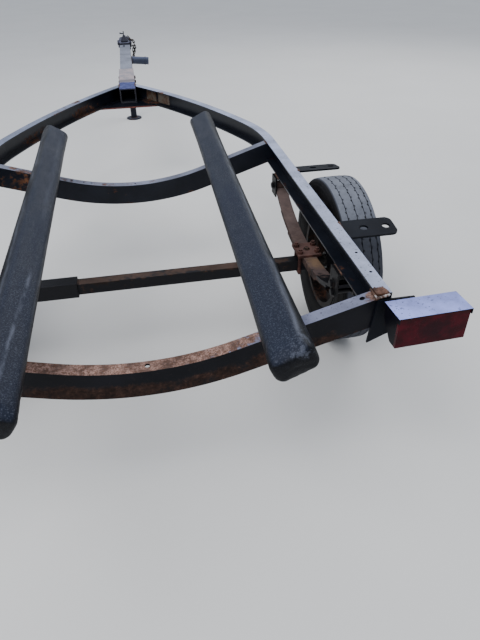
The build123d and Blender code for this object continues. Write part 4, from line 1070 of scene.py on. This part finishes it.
def makeWheelTrim(side):
    s = wheelTrim
    axle, way = wheelCentre(side)
    places = []
    for index in range(4):
        turn = math.radians(90 * index + 45)
        spot = Vector((way * s["lugFace"], s["lugCircle"] * math.cos(turn), s["lugCircle"] * math.sin(turn)))
        places.append((axle + spot, (way, 0, 0), 0.4 * index))
    placeCopies(turnUp(s["nut"], 6), places, "lugNuts_" + side, steel["rust"], "wheel_" + side)
    turn = math.radians(s["valveTurn"])
    radial = Vector((0, math.cos(turn), math.sin(turn)))
    spot = axle + Vector((way * s["valvePlace"][0], 0, 0)) + s["valvePlace"][1] * radial
    lean = Vector((way * s["valveLean"][0], 0, 0)) + s["valveLean"][1] * radial
    valveRubber = rubber("valveRubber" + side.capitalize(), {"treadFrom": 1.0})
    placeCopies(turnUp(s["valve"]), [(spot, lean)], "valveStem_" + side, valveRubber, "wheel_" + side)
    spot = axle + Vector((way * s["capFrom"], 0, 0))
    placeCopies(turnUp(s["capRing"], 40), [(spot, (way, 0, 0))], "greaseCapRing_" + side, steel["drum"],
                "wheel_" + side)


for side in ("right", "left"):
    makeWheelTrim(side)
print("wheel trim made")


# Bolts, nuts, screws and rivets

fastener = {
    "washer": 1.35,
    # groups of hex heads: radius, finish, slot
    "couplerBolts": (0.0085, "jack", "tongue_paint"), "sleeveBolts": (0.0095, "rust", "rusted_steel"),
    "tongueTopBolt": (0.0075, "jack", "tongue_paint"), "jackPlateBolts": (0.0085, "jack", "tongue_paint"),
    "hangerNuts": (0.0115, "hanger", "rusted_steel"), "springCentreBolts": (0.0085, "rust", "rusted_steel"),
    "bunkLagScrews": (0.0075, "rust", "rusted_steel"), "lightNuts": (0.0065, "bracket", "frame_paint"),
    # where they sit, in mm like at()
    "coupler": ((-1, 3746, 30, 0.3), (-1, 3782, 30, 0.3), (1, 3741, 28, 0.8)), "sleeve": (2580, 2690),
    "sleeveDrop": 38, "tube": (-6, 3561), "jackCorner": (45, 38), "jackLift": 12, "springX": 562,
    "pins": ((970, -112), (253.6, -123.6), (241.2, -145.7)), "hangerHalf": 28.1,
    "springCentre": (595, -199), "lagRows": (30, 46, 1176, 1192), "light": (626, -34),
    # how far the lag screws' heads lie below a bunk's top, in m
    "lagDepth": 0.0723,
}

# the blank plates lie on the inside of the curved rail: the curve in mm, the plates along it in m
plates = {"centre": (-2779.5, 247.3), "radius": 3.527, "inside": 3.5197, "across": 2.7795,
          "runs": ((0.184, 0.086), (0.289, 0.104)), "inset": 0.007, "rows": (-17, -59), "rivet": 0.0026}


def hexHead(radius):
    wide = radius * fastener["washer"]
    washer = turnUp(((0, wide), (radius * 0.12, wide), (radius * 0.18, wide * 0.96)), 20)
    head = turnUp(((radius * 0.1, radius), (radius * 0.72, radius), (radius * 0.84, radius * 0.86)), 6)
    return joinPieces([washer, head])


def domeHead(radius):
    steps = ((0, 1), (0.3, 1), (0.6, 0.82), (0.8, 0.4))
    return turnUp([(radius * height, radius * wide) for height, wide in steps], 14)


def placeHeads(name, places):
    radius, finish, slotName = fastener[name]
    placeCopies(hexHead(radius), places, name, steel[finish], "frame")


def makeBolts():
    s, up, ways = fastener, (0, 0, 1), (-1, 1)
    placeHeads("couplerBolts", [(at(way * tongue["tubeSide"], y, tongueTop(y) - drop), (way, 0, 0), spin)
                                for way, y, drop, spin in s["coupler"]])
    placeHeads("sleeveBolts", [
        (at(way * tongue["sleeveSide"], y, tongueLine(y) - s["sleeveDrop"]), (way, 0, 0), 0.2 * way)
        for y in s["sleeve"] for way in ways])
    x, y = s["tube"]
    placeHeads("tongueTopBolt", [(at(x, y, tongueTop(y)), up, 0.5)])
    (x, y), middle = s["jackCorner"], tongue["jack"]
    corners = [(way * x, middle + end * y) for way in ways for end in ways]
    placeHeads("jackPlateBolts", [(at(x, y, tongueTop(y) + s["jackLift"]), up, x) for x, y in corners])
    placeHeads("hangerNuts", [(at(way * s["springX"] + end * s["hangerHalf"], y, z), (end, 0, 0), y)
                              for y, z in s["pins"] for way in ways for end in ways])
    placeHeads("springCentreBolts", [(at(way * s["springX"], *s["springCentre"]), up, 0.1) for way in ways])
    places = []
    for side in ("right", "left"):
        row, lean = bunkCover[side], math.radians(bunkCover[side]["tilt"])
        down = Vector((-math.sin(lean), 0, -math.cos(lean)))
        for y in s["lagRows"]:
            share = (at(0, y, 0).y - row["rear"].y) / (row["front"].y - row["rear"].y)
            places.append((row["rear"].lerp(row["front"], share) + s["lagDepth"] * down, down, y))
    placeHeads("bunkLagScrews", places)
    x, z = s["light"]
    placeHeads("lightNuts", [(at(way * x, 0, z), (0, 1, 0), 0.4) for way in ways])


def makeRivets():
    s = plates
    heading = math.acos(s["across"] / s["radius"])
    places = []
    for start, long in s["runs"]:
        for place in (start + s["inset"], start + long - s["inset"]):
            turn = heading - place / s["radius"]
            out = Vector((math.cos(turn), math.sin(turn), 0))
            for z in s["rows"]:
                places.append((at(*s["centre"], z) + s["inside"] * out, -out))
    placeCopies(domeHead(s["rivet"]), places, "plateRivets", stapleSteel, "frame")


makeBolts()
makeRivets()
print("fasteners made")


# Weld beads

weld = {
    "radius": 0.0042, "pitch": 0.0034, "voxel": 0.0017, "flatten": 0.75, "shift": 0.0006, "lean": 0.3,
    # where the runs lie on each side, in mm like at(): the crossmembers' ends first
    "ends": (((545, 2, -9), (545, 36, -8)), ((546, 0, -14), (562, -1, -8), (578, -1, -4)),
             ((545, 1149, -6), (545, 1182, -6))),
    "fenderX": 584, "fenders": ((344, 0.158), (842, -0.158)), "fenderHalf": 38,
    "tongueX": 45, "sleeveRun": (2298, 2330, 2360), "gussetRun": (2372, 2402),
    "hangers": (970, 250), "hangerSides": (545, 583), "hangerHalf": 28,
    # bunk brackets: X, Y, the crossmember's top at its end, its slope
    "feet": ((311, 7, -6, 0.29), (-298, 7, -6, 0.29), (331, 1153, 6, 0.32), (-326, 1153, 6, 0.32)),
    "footHalf": 23, "crossHalf": 578,
    # rings: radius in m, and the stub's side, the drop below the tube's top or the height in mm
    "stubRing": (0.0245, 38.2, 31.7), "jackRing": (0.029, 64), "footRing": (0.0243, -524.5),
}


def weldCoins(runs, seed):
    # squashed drops laid along each run, then melted together
    s, draw = weld, random.Random(seed)
    clearSelection()
    bpy.ops.mesh.primitive_uv_sphere_add(segments=10, ring_count=6, radius=s["radius"])
    drop = bpy.context.object
    drop.scale = (1.05, 1.0, s["flatten"])
    settle(drop)
    places = []
    for run in runs:
        for first, last in zip(run, run[1:]):
            count = max(1, round((last - first).length / s["pitch"]))
            for index in range(count):
                spot = first.lerp(last, index / count)
                jitter = Vector([draw.uniform(-s["shift"], s["shift"]) for _ in range(3)])
                lean = [draw.uniform(-s["lean"], s["lean"]) for _ in range(2)]
                places.append((spot + jitter, (*lean, 1)))
    bead = joinCopies(drop, places)
    bead.data.remesh_voxel_size = s["voxel"]
    bpy.ops.object.voxel_remesh()
    useModifier(bead, "SMOOTH", {"factor": 0.5, "iterations": 2})
    bpy.ops.object.shade_smooth()
    return bead


def ring(centre, radius, first, second, count=40):
    turns = [2 * math.pi * index / count for index in range(count + 1)]
    return [centre + radius * (math.cos(turn) * Vector(first) + math.sin(turn) * Vector(second))
            for turn in turns]


def makeWelds():
    s, runs = weld, []
    across, along, up = (1, 0, 0), (0, 1, 0), (0, 0, 1)
    for way in (-1, 1):
        runs += [[at(way * x, y, z) for x, y, z in run] for run in s["ends"]]
        for y, rise in s["fenders"]:
            runs.append([at(way * s["fenderX"], y + step, -6 + step * rise)
                         for step in (-s["fenderHalf"], 0, s["fenderHalf"])])
        runs.append([at(way * s["tongueX"], y, tongueLine(y) - 1) for y in s["sleeveRun"]])
        runs.append([at(way * s["tongueX"], y, -76) for y in s["gussetRun"]])
        runs += [[at(way * x, y + step, -77) for step in (-s["hangerHalf"], s["hangerHalf"])]
                 for y in s["hangers"] for x in s["hangerSides"]]
    for middle, y, top, slope in s["feet"]:
        runs.append([at(x, y, top - slope * (s["crossHalf"] - abs(x)))
                     for x in (middle - s["footHalf"], middle + s["footHalf"])])
    radius, x, drop = s["stubRing"]
    runs.append(ring(at(x, tongue["stub"], tongueTop(tongue["stub"]) - drop), radius, along, up))
    radius, drop = s["jackRing"]
    runs.append(ring(at(0, tongue["jack"], tongueTop(tongue["jack"]) - drop), radius, across, along))
    scale = rustySteel("weldScale", {
        "mid": (0.060, 0.028, 0.018), "light": (0.17, 0.088, 0.056), "paint": (0.50, 0.47, 0.46),
        "paintAmount": 0.04, "scale": 42.0, "skySheenAndBloomAmount": 0.3,
        "patches": [(at(way * 560, 6, 0), (0.034, 0.034, 0.03), 0.5) for way in (-1, 1)]})
    finishPiece(weldCoins(runs, 7), "weldBeads", scale, "frame")
    radius, height = s["footRing"]
    foot = weldCoins([ring(at(0, tongue["jack"], height), radius, across, along)], 8)
    finishPiece(foot, "jackFootWeld", steel["rust"], "jack_leg")


makeWelds()
print("welds made")


# Stage

stageLook = {"floor": (0.72, 0.71, 0.69), "sky": (0.80, 0.86, 0.97), "skyStrength": 0.85,
             "floorSize": 90, "aim": (0, -0.4, 0.3),
             # lamps: place, power, size
             "lamps": {"key": ((-2.2, -3.0, 4.6), 210, 3.5), "fill": ((3.2, 2.5, 4.0), 120, 4.0)}}


def makeStage():
    s = stageLook
    clearSelection()
    bpy.ops.mesh.primitive_plane_add(size=s["floorSize"])
    floor = bpy.context.object
    floor.name = "floor"
    material, tree, shader, place = startMaterial("floorFinish", 0.2)
    tint = remap(tree, noise(tree, place, 1.5, 3, 0.5), 0.3, 0.7)
    darker = tuple(0.97 * part for part in s["floor"])
    feed(tree, shader.inputs["Base Color"], mixColour(tree, tint, s["floor"], darker))
    shader.inputs["Roughness"].default_value = 0.9
    floor.data.materials.append(material)
    world = bpy.data.worlds.new("paleSky")
    bpy.context.scene.world = world
    world.use_nodes = True
    background = world.node_tree.nodes["Background"]
    background.inputs["Color"].default_value = (*s["sky"], 1)
    background.inputs["Strength"].default_value = s["skyStrength"]
    for name, (spot, power, size) in s["lamps"].items():
        bpy.ops.object.light_add(type="AREA", location=spot)
        lamp = bpy.context.object
        lamp.name = name
        lamp.data.energy = power
        lamp.data.size = size
        aim = Vector(s["aim"]) - lamp.location
        lamp.rotation_euler = aim.to_track_quat("-Z", "Y").to_euler()


makeStage()
print("stage set")
